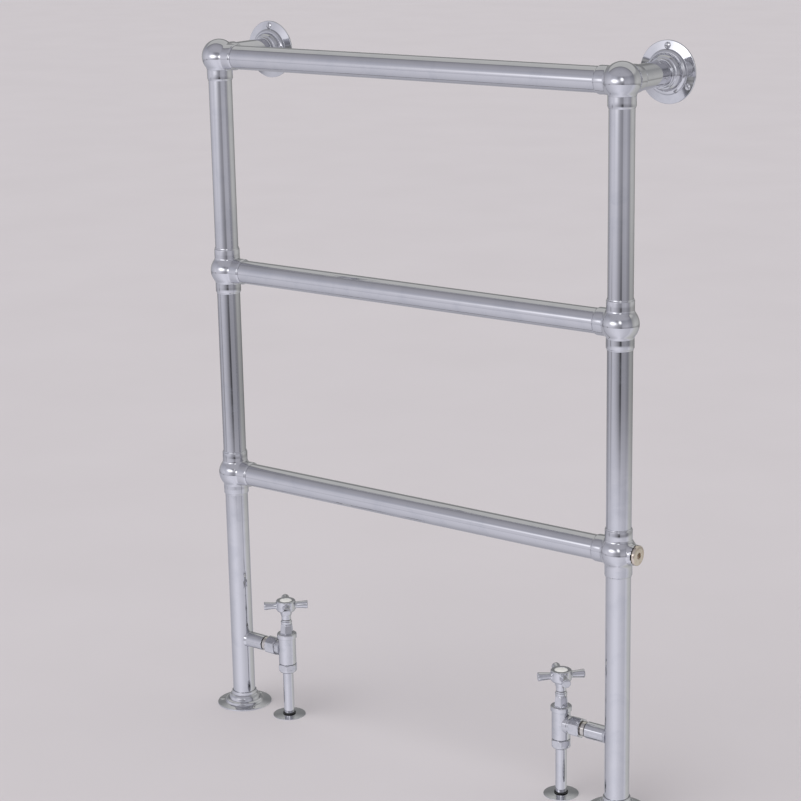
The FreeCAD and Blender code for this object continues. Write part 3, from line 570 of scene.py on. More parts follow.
# ------------------------------------------------------------------ flanges
# Cast brass, turned and plated: a thin skirt with three countersunk holes, a domed step, a ring
# groove and a stepped boss that the tube stands in. Two on the wall and two on the floor.
def rounded(outline, closed):
    """Outline points with their corners rounded: (r, h), (r, h, radius) or (r, h, radius, flats)."""
    full = [tuple(p) + (0.0, 0.0)[len(p) - 2:] if len(p) < 4 else tuple(p) for p in outline]
    out = []
    count = len(full)
    for i, (r, h, radius, flats) in enumerate(full):
        here = Vector((r, h))
        if radius <= 0 or (not closed and i in (0, count - 1)):
            out.append((r, h, flats))
            continue
        before = Vector(full[i - 1][:2]) - here
        after = Vector(full[(i + 1) % count][:2]) - here
        bend = before.angle(after)
        reach = min(radius / math.tan(bend / 2), 0.49 * before.length, 0.49 * after.length)
        start, end = here + before.normalized() * reach, here + after.normalized() * reach
        true_r = reach * math.tan(bend / 2)
        centre = here + (before.normalized() + after.normalized()).normalized() * (
            true_r / math.sin(bend / 2))
        steps = max(3, round(math.degrees(math.pi - bend) / 15))
        before_it = start + before * min(0.25, 0.2 * mm / before.length)
        after_it = end + after * min(0.25, 0.2 * mm / after.length)
        a, b = start - centre, end - centre
        sweep = a.angle_signed(b)
        out.append((before_it.x, before_it.y, flats))
        for k in range(steps + 1):
            turned_by = Matrix.Rotation(-sweep * k / steps, 2)
            point = centre + turned_by @ a
            out.append((point.x, point.y, flats))
        out.append((after_it.x, after_it.y, flats))
    return out


def hex_radius(limit, phi, flats):
    """Radius at an angle of a hexagon bar with softened corners, turned down to a limit."""
    sharp = 46
    total = (1 / limit) ** sharp
    for k in range(6):
        facing = math.cos(phi - math.radians(30 + 60 * k))
        if facing > 0:
            total += (facing / (flats / 2)) ** sharp
    return total ** (-1 / sharp)


def turned(name, outline, material, steps=96):
    """Mesh turned about Z from an outline; it is closed on the axis, or round as a ring."""
    ring_shaped = outline[0][0] > 0
    points = rounded(outline, ring_shaped)
    verts, rows, faces = [], [], []
    for r, h, flats in points:
        if r <= 0:
            rows.append([len(verts)])
            verts.append((0, 0, h))
            continue
        rows.append(list(range(len(verts), len(verts) + steps)))
        for k in range(steps):
            phi = 2 * math.pi * k / steps
            reach = hex_radius(r, phi, flats) if flats else r
            verts.append((reach * math.cos(phi), reach * math.sin(phi), h))
    pairs = list(zip(rows, rows[1:])) + ([(rows[-1], rows[0])] if ring_shaped else [])
    for one, two in pairs:
        for k in range(steps):
            n = (k + 1) % steps
            if len(one) == 1 and len(two) == 1:
                continue
            if len(one) == 1:
                faces.append((one[0], two[k], two[n]))
            elif len(two) == 1:
                faces.append((one[k], two[0], one[n]))
            else:
                faces.append((one[k], two[k], two[n], one[n]))
    return built(name, verts, faces, material)


def combined(piece, other, operation):
    """The piece with another mesh cut from it or joined to it; the other is used up."""
    modifier = piece.modifiers.new("combine", "BOOLEAN")
    modifier.operation = operation
    modifier.solver = "EXACT"
    modifier.object = other
    baked(piece, piece.data.name)
    bpy.data.objects.remove(other)
    return piece


def around_tree():
    """Geometry: copies of the host mesh around Z, each turned to face outwards."""
    tree, given, out = group_of(
        "set_around", "GeometryNodeTree",
        {"Geometry": "NodeSocketGeometry", "Count": ("NodeSocketInt", 3),
         "Circle Radius": ("NodeSocketFloat", 0.03), "First Angle": ("NodeSocketFloat", 0.0),
         "Material": "NodeSocketMaterial"},
        {"Geometry": "NodeSocketGeometry"})
    points = add(tree, "GeometryNodeMeshLine", {"Count": given.outputs["Count"],
                                                "Offset": (0.0, 0.0, 0.0)})
    index = add(tree, "GeometryNodeInputIndex").outputs["Index"]
    share = add(tree, "ShaderNodeMath", {0: index, 1: given.outputs["Count"]}, operation="DIVIDE")
    turn = add(tree, "ShaderNodeMath", {0: share.outputs[0], 1: 2 * math.pi,
                                        2: given.outputs["First Angle"]}, operation="MULTIPLY_ADD")
    spin = add(tree, "ShaderNodeCombineXYZ", {"Z": turn.outputs[0]})
    offset = add(tree, "ShaderNodeCombineXYZ", {"X": given.outputs["Circle Radius"]})
    shifted = add(tree, "GeometryNodeTransform", {"Geometry": given.outputs["Geometry"],
                                                  "Translation": offset.outputs["Vector"]})
    copies = add(tree, "GeometryNodeInstanceOnPoints",
                 {"Points": points.outputs["Mesh"], "Instance": shifted.outputs["Geometry"],
                  "Rotation": spin.outputs["Vector"]})
    return painted_end(tree, given, out, copies.outputs["Instances"])


set_around = around_tree()
cast_chrome = plated("cast_chrome", (0.64, 0.64, 0.66), (0.59, 0.60, 0.62), smeared=0.13,
                     smear_scale=60.0, peel_scale=120.0, peel_height=1.0e-5)
flange_r = 39.0 * mm
flange_edge = 1.8 * mm
flange_seat = 3.2 * mm
boss_top = 19.5 * mm
step_top = 7.6 * mm
screw_circle = 32.6 * mm
sink_r = 4.45 * mm
sink_top = 2.5 * mm
flange_outline = [
    (0.0, 0.0), (flange_r, 0.0, 0.2 * mm), (flange_r, flange_edge, 0.7 * mm),
    (27.9 * mm, flange_seat, 0.5 * mm), (27.2 * mm, 6.4 * mm, 1.6 * mm),
    (24.6 * mm, step_top, 1.2 * mm), (23.5 * mm, step_top, 0.3 * mm),
    (23.0 * mm, step_top - 1.0 * mm, 0.3 * mm), (22.4 * mm, step_top, 0.3 * mm),
    (21.7 * mm, 11.2 * mm, 3.0 * mm), (19.9 * mm, 14.1 * mm, 0.8 * mm),
    (18.5 * mm, 14.5 * mm, 0.7 * mm), (17.8 * mm, 15.6 * mm, 0.5 * mm),
    (17.8 * mm, boss_top, 1.0 * mm), (tube_r + braze_gap, boss_top, 0.2 * mm),
    (tube_r + braze_gap, flange_seat), (0.0, flange_seat)]


def flange(name):
    """One flange about Z, back face at nought, with its three holes sunk for the screws."""
    body = turned(name, flange_outline, cast_chrome, 144)
    sink = turned("sink", [(0, -1 * mm), (2.5 * mm, -1 * mm), (2.5 * mm, sink_top - 2.0 * mm),
                           (sink_r, sink_top), (sink_r, 12 * mm), (0, 12 * mm)], cast_chrome, 48)
    sinks = grown("sinks", set_around, {"Count": 3, "Circle Radius": screw_circle,
                                        "Material": cast_chrome}, sink.data)
    bpy.data.objects.remove(sink)
    return combined(body, sinks, "DIFFERENCE")


wall_y = max(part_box("left_wall_flange")[1].y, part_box("right_wall_flange")[1].y)
flange_places = {}
for side in side_sign:
    flange_places[side + "_wall_flange"] = (Vector((leg_x[side], wall_y, rail_z["top"])), -Y_AXIS)
    flange_places[side + "_floor_flange"] = (Vector((leg_x[side], uprights_y, 0)), Z_AXIS)


def stand_on(piece, place, along):
    """Puts a flange or its screws in place with the first screw at the top, or at the wall."""
    if along == -Y_AXIS:
        piece.data.transform(Matrix.Translation(place) @ Matrix.Rotation(math.pi / 2, 4, "X")
                             @ Matrix.Rotation(math.pi / 2, 4, "Z"))
    else:
        move(piece, place, along, math.pi / 2)
    return piece


for node, (place, along) in flange_places.items():
    settle(stand_on(flange(node + "_casting"), place, along), "rail", "polished_chrome", node)


# ------------------------------------------------------------------ flange screws
# Slotted raised-countersunk brass screws, chrome plated to match. Those in the wall show 12 mm
# of wood-screw shank behind the flange; those in the floor are cut off at the floor.
screw_chrome = plated("screw_chrome", (0.66, 0.66, 0.67), (0.55, 0.55, 0.57), smeared=0.16,
                      smear_scale=160.0, peel_scale=300.0, peel_height=4.0e-6)
screw_r = 2.2 * mm
neck_r = 2.3 * mm
screw_point = 4.0 * mm
head_r = 4.3 * mm
head_rim = 2.55 * mm
slot_half, slot_length = 0.55 * mm, 8 * mm
thread_pitch, thread_ridge = 2.0 * mm, 0.38 * mm
plain_shank = 6.0 * mm


def screw(name, tip):
    """One screw about Z with its slot along X; the thread is a ridge wound around the shank."""
    crown_rise = 1.0 * mm
    shank = [(0, tip), (screw_r, tip)]
    if tip < 0:
        shank = [(0, tip), (0.3 * mm, tip), (screw_r, tip + screw_point, 0.8 * mm), (screw_r, 0)]
    body = turned(name, shank + [
        (neck_r, head_rim - (head_r - neck_r)), (head_r, head_rim, 0.12 * mm),
        (head_r * 0.8, head_rim + 0.40 * crown_rise, 1.5 * mm),
        (head_r * 0.45, head_rim + 0.85 * crown_rise, 2.5 * mm),
        (0, head_rim + crown_rise)], screw_chrome, 48)
    slot_floor, slot_top = head_rim - 0.5 * mm, head_rim + 3 * mm
    slot_cut = turned("slot", [(0, slot_floor), (slot_length, slot_floor), (slot_length, slot_top),
                               (0, slot_top)], screw_chrome, 4)
    narrowing = slot_half / (slot_length * math.sqrt(0.5))
    slot_cut.data.transform(Matrix.Rotation(math.radians(45), 4, "Z"))
    slot_cut.data.transform(Matrix.Diagonal((1.0, narrowing, 1.0, 1.0)))
    return combined(body, slot_cut, "DIFFERENCE")


def thread_tree():
    """Geometry: a three-sided ridge wound around Z, joined to the host mesh."""
    tree, given, out = group_of(
        "wood_thread", "GeometryNodeTree",
        {"Geometry": "NodeSocketGeometry", "Turns": ("NodeSocketFloat", 12.0),
         "Thread Radius": ("NodeSocketFloat", 0.002), "Ridge": ("NodeSocketFloat", 0.0005),
         "Length": ("NodeSocketFloat", 0.02), "Start": ("NodeSocketFloat", -0.03),
         "Material": "NodeSocketMaterial"},
        {"Geometry": "NodeSocketGeometry"})
    helix = add(tree, "GeometryNodeCurveSpiral",
                {"Resolution": 20, "Rotations": given.outputs["Turns"],
                 "Start Radius": given.outputs["Thread Radius"],
                 "End Radius": given.outputs["Thread Radius"], "Height": given.outputs["Length"]})
    lift = add(tree, "ShaderNodeCombineXYZ", {"Z": given.outputs["Start"]})
    lowered = add(tree, "GeometryNodeTransform", {"Geometry": helix.outputs["Curve"],
                                                  "Translation": lift.outputs["Vector"]})
    section = add(tree, "GeometryNodeCurvePrimitiveCircle",
                  {"Resolution": 3, "Radius": given.outputs["Ridge"]})
    ridge = add(tree, "GeometryNodeCurveToMesh",
                {"Curve": lowered.outputs["Geometry"], "Profile Curve": section.outputs["Curve"],
                 "Fill Caps": True})
    both = add(tree, "GeometryNodeJoinGeometry")
    tree.links.new(ridge.outputs["Mesh"], both.inputs["Geometry"])
    tree.links.new(given.outputs["Geometry"], both.inputs["Geometry"])
    return painted_end(tree, given, out, both.outputs["Geometry"])


def joined(name, pieces):
    """Several plain objects made one, in the order given."""
    whole = bmesh.new()
    for piece in pieces:
        whole.from_mesh(piece.data)
    mesh = bpy.data.meshes.new(name)
    whole.to_mesh(mesh)
    whole.free()
    for material in pieces[0].data.materials:
        mesh.materials.append(material)
    mesh.shade_smooth()
    mesh.set_sharp_from_angle(angle=math.radians(32))
    for piece in pieces:
        bpy.data.objects.remove(piece)
    return linked(name, mesh)


wood_thread = thread_tree()
screw_sets = {"wall_screws": -(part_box("wall_screws")[1].y - wall_y),
              "floor_screws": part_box("floor_screws")[0].z}
for node, tip in screw_sets.items():
    blank = screw("screw_blank", tip)
    shank = blank.data
    if tip < 0:
        threaded = grown("threaded", wood_thread,
                         {"Turns": (-tip - plain_shank) / thread_pitch, "Ridge": thread_ridge,
                          "Thread Radius": screw_r - 0.18 * mm, "Length": -tip - plain_shank,
                          "Start": tip + 4.5 * mm, "Material": screw_chrome}, shank)
        shank = threaded.data
        bpy.data.objects.remove(threaded)
    sets = []
    for flange_node, (place, along) in flange_places.items():
        if node.split("_")[0] not in flange_node:
            continue
        trio = grown("trio", set_around, {"Count": 3, "Circle Radius": screw_circle,
                                          "Material": screw_chrome}, shank.copy())
        sets.append(stand_on(trio, place, along))
    bpy.data.objects.remove(blank)
    settle(joined(node + "_slotted", sets), "rail", "polished_chrome", node)


# ------------------------------------------------------------------ blanking plug
# Nickel-plated brass plug with an 8 mm hexagon socket, screwed into the outer side of the
# bottom right ball on a black rubber O-ring.
nickel = plated("polished_nickel", (0.74, 0.66, 0.56), (0.66, 0.55, 0.45), clean=0.07, smeared=0.2,
                smear_scale=120.0, peel_scale=260.0, peel_height=6.0e-6)


def grained(tree, shader, shade, roughness, relief, strength, depth):
    """Roughness that follows one pattern, and a bump from another."""
    rough = add(tree, "ShaderNodeMapRange", {"Value": shade.outputs["Fac"], 1: 0.3, 2: 0.7,
                                             3: roughness[0], 4: roughness[1]})
    tree.links.new(rough.outputs["Result"], shader.inputs["Roughness"])
    bump = add(tree, "ShaderNodeBump", {"Height": relief.outputs["Fac"], "Strength": strength,
                                        "Distance": depth})
    tree.links.new(bump.outputs["Normal"], shader.inputs["Normal"])


def rubber_material():
    """Moulded black rubber: fine grain and a slight bloom."""
    material, tree, shader, place = new_material("black_rubber")
    bloom = add(tree, "ShaderNodeTexNoise", {"Vector": place, "Scale": 260.0, "Detail": 4.0})
    tree.links.new(ramp(tree, bloom.outputs["Fac"], [(0.35, (0.012, 0.012, 0.013)),
                                                     (0.75, (0.035, 0.034, 0.033))]),
                   shader.inputs["Base Color"])
    grain = add(tree, "ShaderNodeTexNoise", {"Vector": place, "Scale": 2200.0, "Detail": 2.0})
    grained(tree, shader, bloom, (0.42, 0.62), grain, 0.35, 0.03 * mm)
    return material


rubber = rubber_material()


def o_ring(name, inner, section, middle):
    """Round rubber cord closed in a ring about Z."""
    outline = []
    for k in range(20):
        a = 2 * math.pi * k / 20
        outline.append((inner + section + section * math.cos(a), middle + section * math.sin(a)))
    return turned(name, outline, rubber, 64)


plug_low, plug_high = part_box("blanking_plug")
ball_centre = Vector((leg_x["right"], uprights_y, rail_z["bottom"]))
plug_face = plug_high.x - ball_centre.x - 0.4 * mm
plug_seat = plug_face - 3.4 * mm
plug_foot = plug_low.x - ball_centre.x
plug_flats = 8.0 * mm
plug_outline = [
    (0.0, plug_foot), (10.0 * mm, plug_foot, 0.8 * mm), (10.0 * mm, plug_seat, 0.2 * mm),
    (13.0 * mm, plug_seat, 0.3 * mm), (13.0 * mm, plug_face, 1.3 * mm),
    (9.0 * mm, plug_face + 0.30 * mm, 6.0 * mm), (5.0 * mm, plug_face + 0.40 * mm, 0.25 * mm),
    (4.9 * mm, plug_face - 0.1 * mm, 0.1 * mm, plug_flats),
    (4.9 * mm, plug_face - 5.4 * mm, 0.0, plug_flats), (0.0, plug_face - 5.4 * mm)]
plug = turned("blanking_plug_head", plug_outline, nickel, 144)
settle(move(plug, ball_centre, X_AXIS), "rail", "polished_nickel", "blanking_plug")
plug_ring = o_ring("plug_ring", 10.05 * mm, 0.65 * mm, boss_reach + 0.70 * mm)
settle(move(plug_ring, ball_centre, X_AXIS), "rail", "black_rubber", "plug_o_ring")


# ------------------------------------------------------------------ air vent
# Small hexagonal vent brazed into the back of the top rail, with a square-headed needle that
# a radiator key turns.
vent_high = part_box("air_vent_body")[1]
vent_centre = Vector((middle("air_vent_body", "x"), uprights_y, rail_z["top"]))
vent_top = vent_high.y - uprights_y
vent_foot = math.sqrt(tube_r ** 2 - (5.6 * mm) ** 2)
vent = turned("air_vent_hexagon", [
    (0.0, vent_foot, 0.0, 10 * mm), (5.9 * mm, vent_foot, 0.0, 10 * mm),
    (5.9 * mm, vent_top - 0.7 * mm, 0.3 * mm, 10 * mm), (5.0 * mm, vent_top, 0.2 * mm, 10 * mm),
    (2.2 * mm, vent_top, 0.15 * mm), (2.2 * mm, vent_top - 2 * mm), (0.0, vent_top - 2 * mm)],
    cast_chrome, 96)
settle(move(vent, vent_centre, Y_AXIS), "rail", "polished_chrome", "air_vent_body")
needle_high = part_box("air_vent_screw")[1]
needle_end = needle_high.y - uprights_y
key_half = 2.5 * mm
needle = turned("air_vent_key", [
    (0.0, vent_top - 1.9 * mm), (2.0 * mm, vent_top - 1.9 * mm), (2.0 * mm, vent_top + 0.5 * mm),
    (3.4 * mm, vent_top + 0.5 * mm, 0.1 * mm), (3.4 * mm, needle_end - 0.9 * mm, 0.2 * mm),
    (key_half, needle_end, 0.2 * mm), (0.0, needle_end)], cast_chrome, 4)
needle.data.transform(Matrix.Rotation(math.pi / 4, 4, "Z"))
settle(move(needle, vent_centre, Y_AXIS), "vent_screw", "polished_chrome", "air_vent_screw")


# ------------------------------------------------------------------ union to the valve
# A chromed stub brazed on the leg, a nickel-plated tail screwed into it on an O-ring, and the
# chromed union nut that draws the tail to the valve.
nut_chrome = plated("nut_chrome", (0.65, 0.65, 0.67), (0.57, 0.58, 0.60), smeared=0.15,
                    smear_scale=110.0, peel_scale=200.0, peel_height=6.0e-6)
tail_nickel = plated("tail_nickel", (0.66, 0.63, 0.59), (0.58, 0.54, 0.49), clean=0.06,
                     smeared=0.18, smear_scale=120.0, peel_scale=260.0, peel_height=6.0e-6)
valve_centre = {}
for side, sign in side_sign.items():
    stub_low, stub_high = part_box(side + "_valve_stub")
    valve_centre[side] = Vector((middle(side + "_supply_pipe", "x"), uprights_y,
                                 middle(side + "_valve_stub", "z")))
    inward = -sign * X_AXIS
    at_leg = Vector((leg_x[side], uprights_y, valve_centre[side].z))
    stub_end = max(abs(stub_low.x - leg_x[side]), abs(stub_high.x - leg_x[side]))
    stub_r = (stub_high.z - stub_low.z) / 2
    stub_piece = turned(side + "_stub_sleeve", [
        (stub_r + 1.3 * mm, tube_r - 3.6 * mm, 0.0), (stub_r + 1.3 * mm, tube_r - 3.2 * mm, 1.0 * mm),
        (stub_r, tube_r + 0.4 * mm, 1.2 * mm), (stub_r, stub_end, 0.7 * mm),
        (8.6 * mm, stub_end, 0.2 * mm), (8.6 * mm, tube_r - 3.6 * mm, 0.0)], nut_chrome)
    settle(move(stub_piece, at_leg, inward), "rail", "polished_chrome", side + "_valve_stub")

    tail_low, tail_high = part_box(side + "_union_tail")
    tail_start = min(abs(tail_low.x - leg_x[side]), abs(tail_high.x - leg_x[side]))
    tail_end = max(abs(tail_low.x - leg_x[side]), abs(tail_high.x - leg_x[side]))
    shoulder = stub_end + 1.4 * mm
    shoulder_end = stub_end + 6.8 * mm
    tail = turned(side + "_tail_sleeve", [
        (5.8 * mm, tail_start, 0.2 * mm), (8.5 * mm, tail_start, 0.3 * mm),
        (8.5 * mm, shoulder, 0.1 * mm), (10.0 * mm, shoulder, 0.3 * mm),
        (10.0 * mm, shoulder_end, 0.6 * mm), (8.0 * mm, shoulder_end, 0.3 * mm),
        (8.0 * mm, tail_end - 3.6 * mm, 0.1 * mm), (10.1 * mm, tail_end - 3.6 * mm, 0.3 * mm),
        (10.1 * mm, tail_end, 1.0 * mm), (5.8 * mm, tail_end, 0.3 * mm)], tail_nickel)
    settle(move(tail, at_leg, inward), "rail", "polished_nickel", side + "_union_tail")

tail_rings, union_nuts = [], []
for side, sign in side_sign.items():
    at_leg = Vector((leg_x[side], uprights_y, valve_centre[side].z))
    inward = -sign * X_AXIS
    tail_rings.append(move(o_ring("ring", 8.55 * mm, 0.65 * mm, stub_end + 0.7 * mm), at_leg, inward))
    nut_start = stub_end + 8.0 * mm
    nut_end = nut_start + 16.0 * mm
    flats = 24.2 * mm
    corner = 14.1 * mm
    nut = turned("nut", [
        (8.2 * mm, nut_start, 0.3 * mm), (flats / 2 - 0.2 * mm, nut_start, 0.4 * mm),
        (corner, nut_start + 1.4 * mm, 0.6 * mm, flats), (corner, nut_start + 4 * mm, 0.0, flats),
        (corner, nut_end - 4 * mm, 0.0, flats), (corner, nut_end - 1.4 * mm, 0.6 * mm, flats),
        (flats / 2 - 0.2 * mm, nut_end, 0.4 * mm), (10.95 * mm, nut_end, 0.3 * mm),
        (10.95 * mm, nut_start + 2.2 * mm, 0.2 * mm), (8.2 * mm, nut_start + 2.2 * mm, 0.2 * mm)],
        nut_chrome, 192)
    union_nuts.append(move(nut, at_leg, inward))
settle(joined("tail_rings", tail_rings), "rail", "black_rubber", "tail_o_rings")
settle(joined("union_nut_pair", union_nuts), "rail", "polished_chrome", "union_nuts")


# ------------------------------------------------------------------ valve bodies and bonnets
# Hot-stamped brass angle bodies, turned and plated, each with a side outlet; a bonnet with a
# round ring and a tapered hexagon screws into the top, and a gland nut closes it.
valve_chrome = plated("valve_chrome", (0.65, 0.65, 0.67), (0.59, 0.60, 0.62), smeared=0.14,
                      smear_scale=90.0, peel_scale=150.0, peel_height=8.0e-6)
gland_nuts = []
for side, sign in side_sign.items():
    outward = sign * X_AXIS
    low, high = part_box(side + "_valve_body")
    top = high.z
    mouth = low.z
    foot = mouth + 10.0 * mm
    body_r = (high.y - low.y) / 2
    axis_x = valve_centre[side].x
    outlet_face = max(abs(low.x - axis_x), abs(high.x - axis_x))
    on_axis = Vector((axis_x, uprights_y, 0))
    body = turned(side + "_valve_casting", [
        (9.1 * mm, top - 11.5 * mm), (9.1 * mm, top, 0.3 * mm), (body_r, top, 0.4 * mm),
        (body_r, foot, 0.8 * mm), (10.4 * mm, foot, 0.2 * mm), (10.4 * mm, mouth, 0.4 * mm),
        (7.7 * mm, mouth, 0.4 * mm), (7.7 * mm, top - 11.5 * mm)], valve_chrome, 128)
    outlet = turned("outlet", [
        (6.0 * mm, 8.5 * mm), (11.8 * mm, 8.5 * mm), (11.8 * mm, body_r + 1.3 * mm, 0.8 * mm),
        (10.8 * mm, body_r + 2.2 * mm, 0.5 * mm), (10.8 * mm, outlet_face, 0.5 * mm),
        (6.0 * mm, outlet_face, 0.5 * mm)], valve_chrome, 96)
    move(outlet, Vector((0, 0, valve_centre[side].z)), outward)
    combined(body, outlet, "UNION")
    settle(move(body, on_axis), "rail", "polished_chrome", side + "_valve_body")

    low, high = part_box(side + "_bonnet")
    bottom, bonnet_top = low.z, high.z
    ring_top = top + 7.0 * mm
    hex_foot, hex_top = 17.2 * mm, 17.2 * 0.86 * mm
    bonnet = turned(side + "_bonnet_cap", [
        (6.9 * mm, bottom, 0.3 * mm), (9.0 * mm, bottom, 0.5 * mm), (9.0 * mm, top, 0.1 * mm),
        (14.0 * mm, top, 0.9 * mm), (14.0 * mm, ring_top, 1.3 * mm),
        (10.6 * mm, ring_top, 0.7 * mm), (10.2 * mm, ring_top + 0.8 * mm, 0.4 * mm, hex_foot),
        (9.9 * mm, bonnet_top - 2.2 * mm, 0.5 * mm, hex_top * 1.02),
        (hex_top / 2, bonnet_top, 0.3 * mm, hex_top), (6.05 * mm, bonnet_top, 0.2 * mm),
        (6.05 * mm, bottom + 4 * mm)], valve_chrome, 192)
    settle(move(bonnet, on_axis), "rail", "polished_chrome", side + "_bonnet")

    gland_foot, gland_top = (corner.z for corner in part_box("gland_nuts"))
    gland = turned("gland", [
        (4.1 * mm, gland_foot), (5.9 * mm, gland_foot), (5.9 * mm, bonnet_top + 0.2 * mm, 0.1 * mm),
        (8.0 * mm, bonnet_top + 0.2 * mm, 0.5 * mm), (8.0 * mm, gland_top - 2.5 * mm, 0.4 * mm),
        (7.1 * mm, gland_top - 2.0 * mm, 0.3 * mm), (7.1 * mm, gland_top, 0.9 * mm),
        (4.1 * mm, gland_top, 0.4 * mm)], valve_chrome)
    gland_nuts.append(move(gland, on_axis))
settle(joined("gland_nut_pair", gland_nuts), "rail", "polished_chrome", "gland_nuts")


# ------------------------------------------------------------------ supply pipes
# 15 mm copper pipe, chrome plated, held in the valve's foot by a compression nut with rounded
# lower corners; a thin spun rose covers the hole in the floor, with an O-ring holding it down.
compression_nuts, roses, rose_rings = [], [], []
for side in side_sign:
    low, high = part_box(side + "_supply_pipe")
    pipe_r = (high.x - low.x) / 2
    on_axis = Vector((valve_centre[side].x, uprights_y, 0))
    pipe = grown(side + "_supply_tube", drawn_tube,
                 {"Length": high.z, "Outer Radius": pipe_r, "Wall": 0.7 * mm, "Easing": 0.1 * mm,
                  "Material": tube_chrome}, crease=12)
    settle(move(pipe, on_axis), "rail", "polished_chrome", side + "_supply_pipe")

    bottom, nut_top = (edge.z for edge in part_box("compression_nuts"))
    flats = 24.2 * mm
    corner = 14.0 * mm
    nut = turned("nut", [
        (pipe_r + 0.35 * mm, bottom, 0.2 * mm), (9.0 * mm, bottom, 1.0 * mm),
        (12.4 * mm, bottom + 2.6 * mm, 3.0 * mm, flats * 1.04),
        (corner, bottom + 7.0 * mm, 2.0 * mm, flats),
        (corner, nut_top - 1.2 * mm, 0.6 * mm, flats), (flats / 2 - 0.2 * mm, nut_top, 0.4 * mm),
        (10.5 * mm, nut_top, 0.3 * mm), (10.5 * mm, bottom + 4.2 * mm),
        (pipe_r + 0.35 * mm, bottom + 4.2 * mm)], nut_chrome, 192)
    compression_nuts.append(move(nut, on_axis))
    rose_low, rose_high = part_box("floor_roses")
    rose_edge = (rose_high.y - rose_low.y) / 2
    rose = turned("rose", [
        (7.8 * mm, 0.0, 0.0), (rose_edge, 0.0, 0.1 * mm), (rose_edge, 0.9 * mm, 0.4 * mm),
        (16 * mm, 1.5 * mm, 6.0 * mm), (7.8 * mm, rose_high.z, 0.3 * mm)], nut_chrome, 128)
    roses.append(move(rose, on_axis))
    ring = o_ring("ring", pipe_r + 0.05 * mm, 0.85 * mm, rose_high.z + 0.90 * mm)
    rose_rings.append(move(ring, on_axis))
settle(joined("compression_nut_pair", compression_nuts), "rail", "polished_chrome", "compression_nuts")
settle(joined("rose_pair", roses), "rail", "polished_chrome", "floor_roses")
settle(joined("rose_rings", rose_rings), "rail", "black_rubber", "rose_o_rings")


# ------------------------------------------------------------------ crosshead handles
# Stamped brass handle, plated: a hub on a flared neck and four arms that swell to their tips.
# A glazed white ceramic disc is pressed into the top.
hub_r = 13.75 * mm
hub_height = 16.0 * mm
arm_root, arm_tip = 4.7 * mm, 5.8 * mm
arm_drop = 7.6 * mm
root_fillet = 1.4 * mm
tip_ease = 0.9 * mm
handle_reach = 31.0 * mm
button_r, button_depth = 8.7 * mm, 2.6 * mm


def arm(name, reach):
    """One arm along X, its root flared on to the round side of the hub, closed at both ends."""
    steps = 64
    verts, faces = [(hub_r * 0.5, 0, 0)], []
    rows = []
    for t in range(7):
        a = math.radians(15 * t)
        flare_r = arm_root + root_fillet * (1 - math.sin(a))
        off = root_fillet * (1 - math.cos(a)) - 0.02 * mm
        row = []
        for k in range(steps):
            phi = 2 * math.pi * k / steps
            y = flare_r * math.cos(phi)
            row.append((math.sqrt(hub_r ** 2 - y * y) + off, y, flare_r * math.sin(phi)))
        rows.append(row)
    start_x = hub_r + root_fillet
    swell = [(0.25, 0.16), (0.5, 0.42), (0.7, 0.66), (0.86, 0.88), (0.92, 0.97)]
    body = reach - tip_ease - start_x
    turns = [2 * math.pi * k / steps for k in range(steps)]
    for share, growth in swell:
        r = arm_root + (arm_tip - arm_root) * growth
        rows.append([(start_x + body * share, r * math.cos(phi), r * math.sin(phi)) for phi in turns])
    for t in range(6):
        a = math.radians(18 * t)
        r = arm_tip - tip_ease * (1 - math.cos(a))
        x = reach - tip_ease + tip_ease * math.sin(a)
        rows.append([(x, r * math.cos(phi), r * math.sin(phi)) for phi in turns])
    for row in rows:
        verts += row
    for i in range(len(rows) - 1):
        for k in range(steps):
            n = (k + 1) % steps
            faces.append((1 + i * steps + k, 1 + (i + 1) * steps + k,
                          1 + (i + 1) * steps + n, 1 + i * steps + n))
    last = 1 + (len(rows) - 1) * steps
    verts.append((reach, 0, 0))
    for k in range(steps):
        n = (k + 1) % steps
        faces.append((0, 1 + k, 1 + n))
        faces.append((last + k, len(verts) - 1, last + n))
    mesh = bpy.data.meshes.new(name)
    mesh.from_pydata(verts, [], faces)
    return finish_mesh(mesh, 40)


def ceramic_material():
    """White vitreous disc: bright glaze over a body with a trace of mottling."""
    material, tree, shader, place = new_material("white_ceramic")
    mottle = add(tree, "ShaderNodeTexNoise", {"Vector": place, "Scale": 300.0, "Detail": 3.0})
    tree.links.new(ramp(tree, mottle.outputs["Fac"], [(0.3, (0.80, 0.79, 0.76)),
                                                      (0.7, (0.87, 0.865, 0.84))]),
                   shader.inputs["Base Color"])
    wave = add(tree, "ShaderNodeTexNoise", {"Vector": place, "Scale": 120.0, "Detail": 1.0})
    grained(tree, shader, mottle, (0.10, 0.18), wave, 0.5, 0.04 * mm)
    shader.inputs["Coat Weight"].default_value = 0.6
    shader.inputs["Coat Roughness"].default_value = 0.03
    return material


